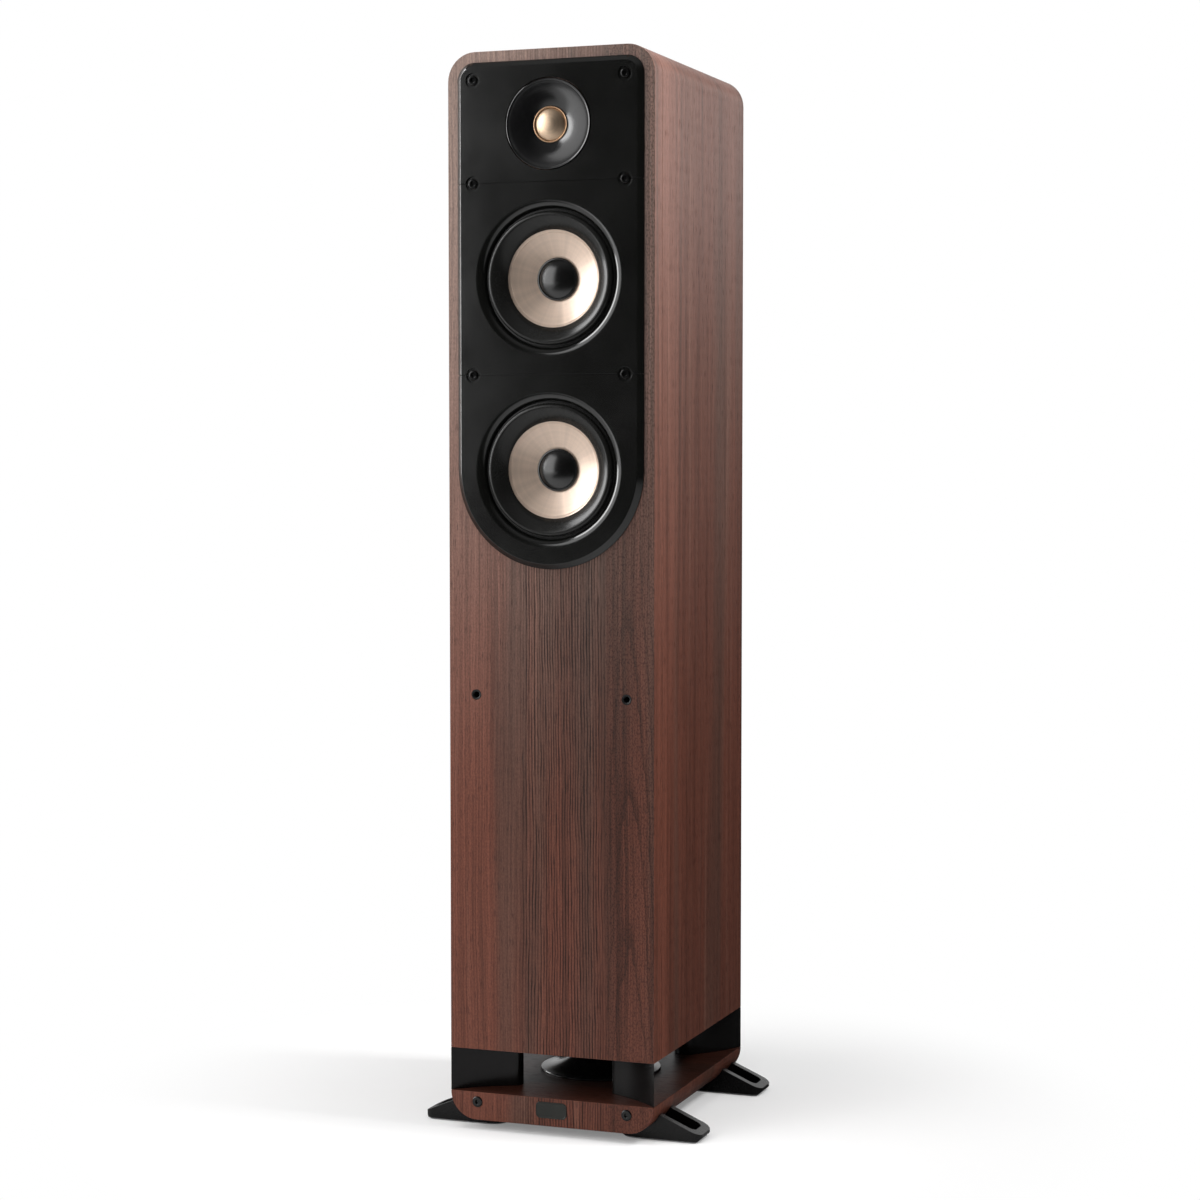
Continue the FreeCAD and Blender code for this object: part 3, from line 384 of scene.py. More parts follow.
def colorRamp(factor, *stops):
    node = addNode(factor.tree, "ShaderNodeValToRGB", {"Fac": factor})
    elements = node.color_ramp.elements
    while len(elements) < len(stops):
        elements.new(0.5)
    for element, (position, color) in zip(elements, stops):
        element.position = position
        element.color = (*color, 1)
    return Wire(node.outputs["Color"])


def shadeRange(factor, color, spread, darker, paler):
    # runs from a darker to a paler version of one colour over the middle of the factor
    low, high = spread
    dark = tuple(c * darker for c in color)
    pale = tuple(min(1, c * paler) for c in color)
    return colorRamp(factor, (low, dark), (high, pale))


def coordinates(tree, kind="Object"):
    return Wire(addNode(tree, "ShaderNodeTexCoord").outputs[kind])


def split(vector):
    return [Wire(output) for output in addNode(vector.tree, "ShaderNodeSeparateXYZ", {0: vector}).outputs]


def combine(x, y, z=0.0):
    return Wire(addNode(x.tree, "ShaderNodeCombineXYZ", {0: x, 1: y, 2: z}).outputs[0])


def lengthOf(a, b):
    return maths("SQRT", a * a + b * b)


def openMaterial(name, color, roughness, metallic=0.0, specular=0.5):
    material = bpy.data.materials.new(name)
    material.use_nodes = True
    material.diffuse_color = (*color, 1)
    shader = material.node_tree.nodes["Principled BSDF"]
    shader.inputs["Base Color"].default_value = (*color, 1)
    shader.inputs["Roughness"].default_value = roughness
    shader.inputs["Metallic"].default_value = metallic
    shader.inputs["Specular IOR Level"].default_value = specular
    return material, material.node_tree, shader


def bumpFrom(shader, height, distance, strength=1.0):
    inputs = {"Height": height, "Distance": distance, "Strength": strength}
    plug(Wire(addNode(height.tree, "ShaderNodeBump", inputs).outputs["Normal"]), shader.inputs["Normal"])


def moulded(name, color, roughness, metallic=0.0, specular=0.5, grain=900, depth=0.00004, vary=0.12,
            mottle=18, tint=0.15):
    # a moulded, cast or painted surface: cloudy colour, uneven sheen, fine texture
    material, tree, shader = openMaterial(name, color, roughness, metallic, specular)
    place = coordinates(tree)
    cloud = noise(place, mottle, 4, 0.6)
    fine = noise(place, grain, 2, 0.5)
    plug(shadeRange(cloud, color, (0.3, 0.7), 1 - tint, 1 + tint), shader.inputs["Base Color"])
    sheen = stepBetween(cloud * 0.6 + fine * 0.4, 0.3, 0.7, roughness - vary, roughness + vary)
    plug(sheen, shader.inputs["Roughness"])
    bumpFrom(shader, fine, depth)
    return material


def turnedFinish(name, centre, color, roughness, metallic=1.0, specular=0.5, lines=900, depth=0, spokes=0.0):
    # rings about a driver's axis, as on a turned or pressed part; spokes adds soft radial shading
    material, tree, shader = openMaterial(name, color, roughness, metallic, specular)
    shift = {"Vector": coordinates(tree), "Location": (-centre[0], 0, -centre[2])}
    place = Wire(addNode(tree, "ShaderNodeMapping", shift).outputs["Vector"])
    x, _, z = split(place)
    # the two odd numbers only pick a slice of the noise
    rings = noise(combine(lengthOf(x, z) * lines, 0.37, 1.9), 1, 2, 0.6)
    shade = rings * 0.55 + noise(place, 45, 3, 0.6) * 0.45
    if spokes:
        angle = maths("ARCTAN2", z, x)
        fan = noise(combine(maths("COSINE", angle) * 3.2, maths("SINE", angle) * 3.2), 1.6, 2, 0.5)
        shade = shade * (1 - spokes) + fan * spokes
    plug(shadeRange(shade, color, (0.32, 0.68), 0.84, 1.14), shader.inputs["Base Color"])
    plug(stepBetween(shade, 0.3, 0.7, roughness - 0.06, roughness + 0.06), shader.inputs["Roughness"])
    if depth:
        bumpFrom(shader, rings, depth)
    return material


woodLook = {
    "deep": (0.056, 0.020, 0.013),
    "red": (0.140, 0.045, 0.028),
    "tan": (0.215, 0.096, 0.066),
    "grey": (0.076, 0.045, 0.034),
    # the colour the painted sheen pales the top towards
    "pale": (0.40, 0.33, 0.285),
    "roughness": 0.42,
    "specular": 0.22,
    "shade": 0.78,                  # darkens the whole finish
    "relief": 0.00012,
    "lineSpacing": 0.0026,
    "lineDark": 0.86,
    "poreDark": 0.38,
    "dotDark": 0.58,
    "veinDark": 0.75,
    "greyShare": 0.55,
    "plainUntil": (-0.034, -0.020),   # across the front: plain, then dense lines, then speckle
    "specksFrom": (0.040, 0.056),
    "figureX": 0.071,                 # middle of the cathedral figure on the front board
    "sidePaintedShades": (1.26, 0.84),       # painted light: lighter at the side's front edge, darker to the rear
    "frontPaintedShades": (1.14, 0.96),      # painted light: lighter at the left of the front, darker to the right
    "frontPaintedSheen": (0.50, 0.32),        # how far the painted sheen pales the top, from left to right
    # how far the painted sheen pales the top of the sides
    "sidePaintedSheen": 0.14,
}


def woodFinish(name, wrapZ, seed=0.0, figure=True, flatPaintedShadow=1.0):
    # grain runs up the front and wraps over the sides; wrapZ is the height of the flat it wraps over
    look = woodLook
    material, tree, shader = openMaterial(name, look["red"], look["roughness"], 0, look["specular"])
    x, y, z = split(coordinates(tree))
    _, normalY, normalZ = split(coordinates(tree, "Normal"))
    front = maths("GREATER_THAN", maths("ABSOLUTE", normalY), 0.7)
    flat = maths("GREATER_THAN", maths("ABSOLUTE", normalZ), 0.9)
    wrap = maths("SIGN", x) * (maths("ABSOLUTE", z - wrapZ) + maths("ABSOLUTE", x))
    across = choose(front, y, x)
    along = choose(front, choose(flat, wrap, x), z)
    layer = choose(front, seed + 4.1, seed)

    def grain(start, fine, coarse, shift, detail=2, roughness=0.5):
        # noise stretched along the grain; each shift gives a pattern of its own
        return noise(combine(start * fine, along * coarse, layer + shift), 1, detail, roughness)

    drift = grain(across, 12, 1.7, 0.0) - 0.5
    ripple = grain(across, 60, 17, 2.0) - 0.5
    bent = across + (drift * 0.016 + ripple * 0.0024)

    broad = stepBetween(grain(bent, 27, 0.5, 7.0), 0.30, 0.70)
    narrow = stepBetween(grain(bent, 150, 1.3, 9.0, 3, 0.6), 0.28, 0.72)
    broadShare = choose(front, 0.34, 0.5)
    tone = broad * broadShare + narrow * (0.9 - broadShare)
    color = colorRamp(tone, (0.0, look["deep"]), (0.38, look["red"]), (0.62, look["red"]), (1.0, look["tan"]))
    greyZone = stepBetween(grain(bent, 19, 0.8, 11.0), 0.50, 0.66) * stepBetween(z, 0.70, 0.92, 1.0, 0.4)
    color = mixColors(greyZone * look["greyShare"], color, look["grey"])

    # streaks and bands, and painted light: the front lighter at the left, the side lighter near its front
    # edge
    sidePaintedLight = stepBetween(y, face + 0.010, face + 0.120, *look["sidePaintedShades"])
    frontPaintedLight = stepBetween(bent, -0.090, 0.030, *look["frontPaintedShades"])
    streak = stepBetween(grain(bent, 420, 3.4, 3.0, 4, 0.65), 0.25, 0.75, 0.72, 1.26)
    # the streaks are multiplied by the painted light
    streak = streak * choose(front, sidePaintedLight, frontPaintedLight)
    bandShade = choose(front, 0.62, 0.84)
    streak = streak * stepBetween(grain(bent, 95, 1.1, 29.0, 3, 0.6), 0.30, 0.46, bandShade, 1.0)

    # dark lines, dense in the middle of the front and broken along their length
    shiver = grain(across, 90, 26, 31.0, 2, 0.6) * 5.0
    wave = maths("SINE", shiver + bent * (2 * math.pi / look["lineSpacing"]))
    broken = stepBetween(grain(bent, 260, 22, 37.0, 2, 0.6), 0.32, 0.62, 0.25, 1.0)
    line = maths("POWER", stepBetween(wave, -1.0, 1.0), 2.6) * broken
    right = stepBetween(bent, *look["specksFrom"])
    dense = stepBetween(bent, *look["plainUntil"]) * stepBetween(bent, *look["specksFrom"], 1.0, 0.0)
    dense = dense * stepBetween(z, 0.84, 0.93, 1.0, 0.3)
    sideLines = stepBetween(grain(across, 17, 0.7, 19.0), 0.40, 0.60, 0.2, 0.6)
    line = line * choose(front, sideLines, stepBetween(dense, 0.0, 1.0, 0.22, 1.0))
    shade = streak * (1.0 - line * look["lineDark"])

    specks = right * front
    if figure:
        bow = maths("POWER", maths("ABSOLUTE", bent - look["figureX"]) * 58.0, 2.0) * 1.1
        contour = maths("FRACT", along * 7.5 + bow + grain(across, 46, 9, 23.0, 3, 0.6) * 1.4)
        vein = stepBetween(contour, 0.0, 0.30, 1.0, 0.0) * specks
        color = mixColors(vein * look["veinDark"], color, look["deep"])

    pore = stepBetween(grain(across, 1250, 80, 5.0, 1), 0.58, 0.70)
    speckle = grain(across, 820, 430, 13.0, 2, 0.6)
    dots = stepBetween(speckle, 0.47, 0.58) * (specks * look["dotDark"])
    shade = shade * (1.0 - pore * look["poreDark"])
    shade = shade * stepBetween(speckle, 0.3, 0.7, 0.86, 1.14) * (1.15 - dots)

    # painted sheen: the colour pales towards the top, as though reflecting light from above
    paintedSheen = choose(front, look["sidePaintedSheen"], stepBetween(x, -0.09, 0.09, *look["frontPaintedSheen"]))
    color = mixColors(stepBetween(z, 0.25, 0.90, 0.0, paintedSheen), color, look["pale"])
    # flat faces take painted shadow, which darkens the base plate's top as though shaded by the cabinet above
    # it
    shade = shade * choose(flat, look["shade"], look["shade"] * flatPaintedShadow)
    plug(mixColors(1.0, color, shade, "MULTIPLY"), shader.inputs["Base Color"])
    plug(pore * 0.16 + speckle * 0.10 + (look["roughness"] - 0.06), shader.inputs["Roughness"])
    bumpFrom(shader, speckle * 0.5 - line * 0.7 - pore, look["relief"], 0.7)
    return material


woodFinish("cabinetWood", cabinetTop)
# the base plate's top is darkened by painted shadow from the cabinet above it
woodFinish("plateWood", plateLow.z, seed=31.0, figure=False, flatPaintedShadow=0.36)

tweeterAxis = (0, 0, tweeterZ)
turnedFinish("dishPlastic", tweeterAxis, (0.004, 0.004, 0.0042), 0.20, 0.0, 0.7, lines=1800, depth=0.000006)
turnedFinish("ringMetal", tweeterAxis, (0.66, 0.42, 0.26), 0.24)
turnedFinish("domeMetal", tweeterAxis, (0.74, 0.56, 0.40), 0.48, lines=500)

mouldedFinishes = {
    # colour, roughness, and what differs from the usual moulded surface
    "trimPlastic": ((0.0032, 0.0033, 0.0029), 0.15,
                    {"specular": 0.8, "grain": 1500, "depth": 8e-6, "vary": 0.03}),
    "surroundRubber": ((0.0085, 0.0085, 0.0080), 0.25,
                       {"specular": 0.42, "grain": 2200, "depth": 1e-5, "vary": 0.05}),
    "capPlastic": ((0.0028, 0.0028, 0.0028), 0.24,
                   {"specular": 1.0, "grain": 2600, "depth": 8e-6, "vary": 0.04}),
    "screwSteel": ((0.0025, 0.0025, 0.0025), 0.12, {"grain": 2400, "depth": 5e-6, "vary": 0.04}),
    "socketPlastic": ((0.006, 0.006, 0.0062), 0.45, {"specular": 0.4, "vary": 0.05}),
    "postPaint": ((0.0045, 0.0042, 0.0042), 0.20,
                  {"specular": 0.28, "grain": 1600, "depth": 1e-5, "vary": 0.05}),
    "footPaint": ((0.0035, 0.0033, 0.0033), 0.27,
                  {"specular": 0.42, "grain": 1900, "depth": 3e-5, "vary": 0.07}),
    "glossBlack": ((0.006, 0.006, 0.006), 0.20,
                   {"specular": 0.4, "grain": 500, "depth": 2e-6, "vary": 0.04, "mottle": 9}),
    "portPlastic": ((0.010, 0.010, 0.011), 0.45, {"specular": 0.4}),
    "padRubber": ((0.28, 0.28, 0.285), 0.70, {"specular": 0.3, "grain": 1300, "depth": 5e-5}),
    "badgeMetal": ((0.036, 0.037, 0.034), 0.36, {"metallic": 0.7, "grain": 1500, "depth": 1e-5}),
    "rearLaminate": ((0.014, 0.014, 0.0148), 0.50, {"specular": 0.35, "grain": 700, "depth": 5e-5}),
    "terminalPlastic": ((0.012, 0.012, 0.0125), 0.42, {"specular": 0.4, "grain": 1400, "depth": 3e-5}),
    "platedBrass": ((0.66, 0.45, 0.16), 0.22, {"metallic": 1.0, "grain": 1800, "depth": 6e-6, "vary": 0.07}),
    "redPlastic": ((0.36, 0.012, 0.012), 0.24, {"depth": 1e-5, "vary": 0.05}),
    "blackPlastic": ((0.012, 0.012, 0.013), 0.24, {"depth": 1e-5, "vary": 0.05}),
    "bareBoard": ((0.36, 0.24, 0.14), 0.75,
                  {"specular": 0.2, "grain": 500, "depth": 1e-4, "mottle": 60, "tint": 0.25}),
    "basketPaint": ((0.012, 0.012, 0.013), 0.45, {"grain": 1000, "depth": 5e-5}),
    "bareSteel": ((0.34, 0.34, 0.35), 0.38, {"metallic": 0.9, "grain": 1200, "depth": 2e-5}),
    "ferriteGrey": ((0.045, 0.045, 0.048), 0.65, {"grain": 800, "depth": 8e-5}),
    "formerFoil": ((0.52, 0.52, 0.54), 0.35, {"metallic": 0.9, "depth": 2e-5}),
    "spiderCloth": ((0.42, 0.25, 0.08), 0.8, {"specular": 0.2, "grain": 1500, "depth": 2e-4}),
    "boardGreen": ((0.02, 0.12, 0.05), 0.45, {"grain": 700, "depth": 3e-5}),
    "copperFilm": ((0.42, 0.17, 0.06), 0.40, {"metallic": 0.4, "grain": 1600, "depth": 8e-5}),
    "wireSheath": ((0.16, 0.012, 0.012), 0.5, {"depth": 3e-5}),
    "fleece": ((0.62, 0.62, 0.60), 0.95, {"specular": 0.1, "grain": 420, "depth": 0.0012, "mottle": 30}),
}
for name, (color, roughness, changes) in mouldedFinishes.items():
    moulded(name, color, roughness, **changes)
print("finishes made")


cabinetSettings = {
    "edge": 0.5, "corner": 25.0, "boardThickness": 20.0, "wall": 15.0,
    "tweeterHole": 33.8, "wooferHole": 62.0, "recess": 70.4, "recessDepth": 6.0, "socketHole": 4.62,
}


def buildFrontBoard():
    s = cabinetSettings
    thick = s["boardThickness"] * mm
    outline = archOutline(sideX, boardLow.z, cabinetTop, s["corner"] * mm)
    board = softenEdges(pushOutline("frontBoard", upright(outline, face), (0, thick, 0)), s["edge"])
    cutters = [drillY(0, tweeterZ, s["tweeterHole"] * mm, face - past, face + thick + past)]
    for z in wooferZ.values():
        cutters.append(drillY(0, z, s["wooferHole"] * mm, face - past, face + thick + past, 96))
        cutters.append(drillY(0, z, s["recess"] * mm, face - past, face + s["recessDepth"] * mm, 96))
    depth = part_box("grille_sockets")[1].y
    for x, z in grilleSocketPlaces:
        cutters.append(drillY(x, z, s["socketHole"] * mm, face - past, depth, 48))
    flatten(carve(board, *cutters))
    finishPiece(board, "wood_finish", "cabinetWood", "front_baffle")


def buildWrap():
    s = cabinetSettings
    radius, wall = s["corner"] * mm, s["wall"] * mm
    outer = archOutline(sideX, boardLow.z, cabinetTop, radius)
    inner = archOutline(sideX - wall, boardLow.z, cabinetTop - wall, radius - wall)
    start = face + s["boardThickness"] * mm
    wrap = pushOutline("cabinetWrap", upright(outer + inner[::-1], start), (0, back - start, 0))
    softenEdges(wrap, s["edge"])
    finishPiece(wrap, "wood_finish", "cabinetWood", "side_panel_left", "side_panel_right", "top_panel")


grilleSocketSettings = {"bore": 2.5, "radius": 4.6}


def pairAcross(node, radius):
    # the two places of a pair of round parts that share one node
    low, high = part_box(node)
    z = (low.z + high.z) / 2
    return [(low.x + radius * mm, z), (high.x - radius * mm, z)]


def buildGrilleSockets():
    bore, radius = grilleSocketSettings["bore"], grilleSocketSettings["radius"]
    low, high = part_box("grille_sockets")
    depth = (high.y - low.y) / mm
    profile = [(bore, depth - 1), (bore, 1.0), (bore + 0.4, 0.3), (bore + 0.9, 0.0), (radius - 0.4, 0.0),
               (radius, 0.5), (radius, depth), (0, depth), (0, depth - 1)]
    sockets = [turnProfile("grilleSocket", profile, (x, face, z), steps=48, closed=False)
               for x, z in grilleSocketPlaces]
    finishPiece(joinPieces(sockets, "grilleSockets"), "socket_plastic", "socketPlastic", "grille_sockets")


grilleSocketPlaces = pairAcross("grille_sockets", grilleSocketSettings["radius"])
buildFrontBoard()
buildWrap()
buildGrilleSockets()
print("cabinet done")


screwSettings = {
    "height": 3.2, "shank": 1.9, "length": 14.8, "round": 0.2, "keyDepth": 0.6,
    "trimHead": 4.0, "trimKey": 2.2, "baseKey": 2.0,
}


def socketScrew(name, head, key, x, y, z):
    # a socket screw pointing +Y from its face at y
    s = screwSettings
    height = s["height"] * mm
    screw = rename(drillY(x, z, head * mm, y, y + height, 48), name)
    pickFaces(screw, lambda polygon: polygon.normal.y > 0.9)
    bpy.ops.mesh.inset(thickness=(head - s["shank"]) * mm)
    extrude((0, s["length"] * mm, 0))
    leaveEdit()
    softenEdges(screw, s["round"] * head, 4)
    carve(screw, drillY(x, z, key * mm, y - past / 2, y + s["keyDepth"] * height, 6))
    return softenEdges(screw, 0.12, 1, 50)


def buildScrews(name, node, head, key, places):
    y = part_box(node)[0].y
    firstX, firstZ = places[0]
    first = socketScrew(name, head, key, firstX, y, firstZ)
    screws = [first] + [copyPiece(first, "screw", (x - firstX, 0, z - firstZ)) for x, z in places[1:]]
    finishPiece(joinPieces(screws, name), "screw_black", "screwSteel", node)


trimHead = screwSettings["trimHead"]
trimLow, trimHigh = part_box("trim_screws")
upperJoint = (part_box("trim_top")[0].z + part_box("trim_middle")[1].z) / 2
screwZs = (trimHigh.z - trimHead * mm, upperJoint, trimLow.z + trimHead * mm)
trimScrewPlaces = [(x, z) for z in screwZs for x, _ in pairAcross("trim_screws", trimHead)]
buildScrews("trimScrews", "trim_screws", trimHead, screwSettings["trimKey"], trimScrewPlaces)

baseLow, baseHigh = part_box("base_screws")
baseHead = (baseHigh.z - baseLow.z) / 2 / mm
baseScrewPlaces = pairAcross("base_screws", baseHead)
buildScrews("baseScrews", "base_screws", baseHead, screwSettings["baseKey"], baseScrewPlaces)
print("screws done")


trimSettings = {
    "half": 85.6, "corner": 15.5, "proud": 5.4, "slopeWide": 4.6, "slopeDeep": 4.6, "round": 0.5, "seam": 0.1,
    "cup": 6.4, "cupDepth": 1.6, "well": 4.3, "dishGap": 0.8, "flare": 67.0, "throat": 59.6, "collar": 2.0,
    "tongueInset": 1.5, "tongueFront": 1.6, "tongueBack": 0.2, "tongueLap": 0.5,
}


def trimPlate():
    # the whole trim in one piece: an arch above, a half circle below, with a sloped edge all round
    s = trimSettings
    half, corner = s["half"] * mm, s["corner"] * mm
    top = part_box("trim_top")[1].z
    outline = cornerArc(-half + corner, top - corner, corner, 180, 90, 12)
    outline += cornerArc(half - corner, top - corner, corner, 90, 0, 12)
    outline += cornerArc(0, wooferZ["lower"], half, 0, -180, 64)
    plate = pushOutline("trimWhole", upright(outline, face), (0, (s["slopeDeep"] - s["proud"]) * mm, 0))
    pickFaces(plate, lambda polygon: polygon.normal.y < -0.9)
    bpy.ops.mesh.inset(thickness=s["slopeWide"] * mm, depth=s["slopeDeep"] * mm)
    leaveEdit()
    return plate


def flareRing(z):
    # the quarter-round mouth of a woofer opening and the collar behind it
    s = trimSettings
    flare, throat, collar = s["flare"], s["throat"], s["collar"]
    roll = flare - throat
    curve = cornerArc(flare, roll - s["proud"], roll, 270, 180, 20)
    profile = curve + [(throat, collar), (flare + 3, collar), (flare + 3, 0.3), (flare, 0.3)]
    return turnProfile("flareRing", profile, (0, face, z), steps=160)


def trimSection(whole, name, node, above=None, woofer=None):
    s = trimSettings
    front = face - s["proud"] * mm
    low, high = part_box(node)
    section = copyPiece(whole, name)
    for z, direction in ((low.z + s["seam"] * mm, -1), (high.z - s["seam"] * mm, 1)):
        editAll(section)
        bpy.ops.mesh.bisect(plane_co=(0, 0, z), plane_no=(0, 0, direction), use_fill=True, clear_outer=True)
        leaveEdit()
    for x, z in trimScrewPlaces:
        if low.z - s["cup"] * mm < z < high.z + s["cup"] * mm:
            carve(section, drillY(x, z, s["cup"] * mm, front - past, front + s["cupDepth"] * mm, 48),
                  drillY(x, z, s["well"] * mm, front, face + past, 48))
    softenEdges(section, s["round"], 3, 28)
    if woofer:
        carve(section, drillY(0, woofer, s["flare"] * mm, front - past, face + past, 160))
    else:
        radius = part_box("tweeter_waveguide")[1].x + s["dishGap"] * mm
        carve(section, drillY(0, tweeterZ, radius, front - past, face + past, 128))
    flatten(section, 30)
    if woofer:
        # painted shade: a dark tongue of trim plastic fills the seam above, so the seam shows dark
        width = (s["half"] - s["tongueInset"]) * mm
        lap = s["tongueLap"] * mm
        tongue = block(-width, width, face - s["tongueFront"] * mm, face - s["tongueBack"] * mm,
                       high.z - lap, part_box(above)[0].z + lap)
        section = joinPieces([section, flareRing(woofer), tongue], name)
    finishPiece(section, "trim", "trimPlastic", node)


whole = trimPlate()
trimSection(whole, "trimTop", "trim_top")
trimSection(whole, "trimMiddle", "trim_middle", "trim_top", wooferZ["upper"])
trimSection(whole, "trimBottom", "trim_bottom", "trim_middle", wooferZ["lower"])
bpy.data.objects.remove(whole)
print("trim done")


tweeterSettings = {
    "rim": 38.6, "lip": 1.5, "horn": 1.9, "hub": 33.5, "backDepth": 4.0, "throat": 15.75, "seat": 1.0,
    "domeRadius": 13.6, "domeRise": 4.8, "domeEdge": 1.4, "domeThick": 0.5, "coilDepth": 8.5,
    "ringInner": 14.0, "ringRise": 1.1,
}


def buildTweeter():
    s = tweeterSettings
    centre = (0, face, tweeterZ)
    top = -trimSettings["proud"]
    rim, throat, backDepth, edge = s["rim"], s["throat"], s["backDepth"], s["domeEdge"]
    mouth, start = rim - s["lip"], top + 0.5
    shares = [i / 30 for i in range(31)]
    bowl = [(mouth - (mouth - throat) * t, start + (s["seat"] - start) * t ** s["horn"]) for t in shares]
    lip = [(rim, top + 0.6), (rim - 0.15, top + 0.2), (rim - 0.5, top), (rim - 0.9, top + 0.05),
           (rim - 1.25, top + 0.35)]
    profile = [(rim, 0)] + lip + bowl + [(throat, backDepth), (s["hub"], backDepth), (s["hub"], 0)]
    dish = turnProfile("tweeterDish", profile, centre, steps=160)
    finishPiece(dish, "waveguide", "dishPlastic", "tweeter_waveguide")

    inner = s["ringInner"]
    crown = arcThrough((throat, edge), ((inner + throat) / 2, edge - s["ringRise"]), (inner, edge), 10)
    ring = turnProfile("tweeterRing", crown + [(inner, backDepth), (throat, backDepth)], centre, steps=128)
    finishPiece(ring, "gold", "ringMetal", "tweeter_ring")

    radius, thick, coil = s["domeRadius"], s["domeThick"], s["coilDepth"]
    bow = domeBow(radius, s["domeRise"], edge - s["domeRise"])
    skirt = edge + thick + 0.1
    shell = bow + [(radius, skirt), (radius - 0.3, skirt), (radius - 0.3, coil), (radius - 0.8, coil)]
    shell += [(r * (radius - 0.8) / radius, y + thick) for r, y in reversed(bow)]
    dome = turnProfile("tweeterDome", shell, centre, closed=False)
    finishPiece(dome, "gold", "domeMetal", "tweeter_dome", body="tweeter_diaphragm")


buildTweeter()
print("tweeter done")


wooferSettings = {
    "lip": 59.2, "lipDepth": 2.0, "crest": 54.2, "crestDepth": -3.4,
    "bead": 3.1, "beadTurn": 30, "beadThick": 0.9, "slopeBulge": 0.8,
    "cone": 43.2, "coneEdge": 7.6, "neck": 15.5, "neckDepth": 19.2,
    "bow": 0.9, "coneThick": 1.2, "ringAt": 40.0,
    "cap": 18.5, "capRim": 2.0, "capRise": 7.5, "capSeat": 2.8,
    "spiderWaves": 5, "spiderThick": 0.8,
    "coneColor": (0.72, 0.56, 0.45), "coat": 0.8, "coatRoughness": 0.28,
}


def buildSurround(title, body, z):
    # the bead is clamped to the basket, the slope inside it follows the cone
    s = wooferSettings
    centre = (0, face, z)
    bead, crest, lip, depth = s["bead"], s["crest"], s["lip"], s["lipDepth"]
    tilt = math.radians(s["beadTurn"])
    beadY = s["crestDepth"] + bead
    edge = (crest - bead * math.sin(tilt), beadY - bead * math.cos(tilt))
    outer = crest + bead
    profile = [(lip, depth), (lip, depth - 0.7), (lip - 0.4, depth - 0.9), (outer + 0.3, depth - 0.9)]
    profile += cornerArc(crest, beadY, bead, 0, -90 - s["beadTurn"], 22)
    profile += cornerArc(crest, beadY, bead - s["beadThick"], -90 - s["beadTurn"], 0, 12)
    profile.append((outer - 1.0, depth))
    roll = turnProfile("surroundBead" + title, profile, centre, steps=160)
    finishPiece(roll, "surround_rubber", "surroundRubber", body + "_surround")

    inner = (s["cone"] - 1.2, s["coneEdge"] - 1.0)
    chord = complex(*inner) - complex(*edge)
    bulge = chord / abs(chord) * 1j * s["slopeBulge"]
    if bulge.imag > 0:
        bulge = -bulge    # the slope bulges forward
    via = (complex(*inner) + complex(*edge)) / 2 + bulge
    front = arcThrough(edge, (via.real, via.imag), inner, 18)
    rear = [(s["cone"], s["coneEdge"])] + [(r + 0.6, y + 0.8) for r, y in reversed(front[:-1])]
    profile = front + [(inner[0], s["coneEdge"])] + rear
    slope = turnProfile("surroundSlope" + title, profile, centre, steps=160)
    finishPiece(slope, "surround_rubber", "surroundRubber", body=None)
    face + edge[1] * mm
    face + inner[1] * mm
    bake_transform(slope)


def buildCone(title, body, z):
    s = wooferSettings
    centre = (0, face, z)
    ringAt = s["ringAt"]
    hollow = ((s["cone"] + s["neck"]) / 2, (s["coneEdge"] + s["neckDepth"]) / 2 + s["bow"])
    curve = arcThrough((s["cone"], s["coneEdge"]), hollow, (s["neck"], s["neckDepth"]), 36)
    ridged = []
    for r, y in curve:
        if r < ringAt and ridged[-1][0] > ringAt:
            ridged += [(ringAt + 0.35, y - 0.12), (ringAt, y + 0.10), (ringAt - 0.30, y + 0.02)]
        if abs(r - ringAt) > 0.5:
            ridged.append((r, y))
    profile = ridged + [(r, y + s["coneThick"]) for r, y in reversed(curve)]
    cone = turnProfile("cone" + title, profile, centre, steps=144)
    skin = turnedFinish("coneSkin" + title, centre, s["coneColor"], 0.40, 0.62, lines=420, spokes=0.5)
    coat = skin.node_tree.nodes["Principled BSDF"].inputs
    coat["Coat Weight"].default_value = s["coat"]
    coat["Coat Roughness"].default_value = s["coatRoughness"]
    finishPiece(cone, "cone_skin", skin.name, body + "_cone", body=body)


def buildDustCap(title, body, z):
    s = wooferSettings
    outer, rim = s["cap"], s["cap"] - s["capRim"]
    foot, apex = s["neckDepth"] - s["capSeat"], s["neckDepth"] - s["capRise"]
    bow = domeBow(rim, foot - apex, apex)
    profile = bow + [(rim + 0.15, foot - 0.35), (rim + 0.5, foot - 0.6), (rim + 1.2, foot - 0.55),
                     (outer - 0.2, foot - 0.2), (outer, foot + 0.2),
                     (outer - 0.1, s["neckDepth"] - 1.0), (rim, s["neckDepth"] - 0.3)]
    profile += [(r * 0.97, y + 1.0) for r, y in reversed(bow)]
    cap = turnProfile("dustCap" + title, profile, (0, face, z), steps=112, closed=False)
    finishPiece(cap, "dust_cap", "capPlastic", body + "_dust_cap", body=body)


def buildSpider(title, body, z):
    s = wooferSettings
    low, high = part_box(body + "_spider")
    start, end, depth, thick = s["neck"], high.x / mm, (low.y - face) / mm, s["spiderThick"]
    shares = [i / 40 for i in range(41)]
    turn = 2 * math.pi * s["spiderWaves"]
    wave = [(start + (end - start) * t, depth + thick * (1 - math.cos(turn * t))) for t in shares]
    corrugated = wave + [(r, y + thick) for r, y in reversed(wave)]
    spider = turnProfile("spider" + title, corrugated, (0, face, z))
    finishPiece(spider, "spider_cloth", "spiderCloth", body + "_spider")


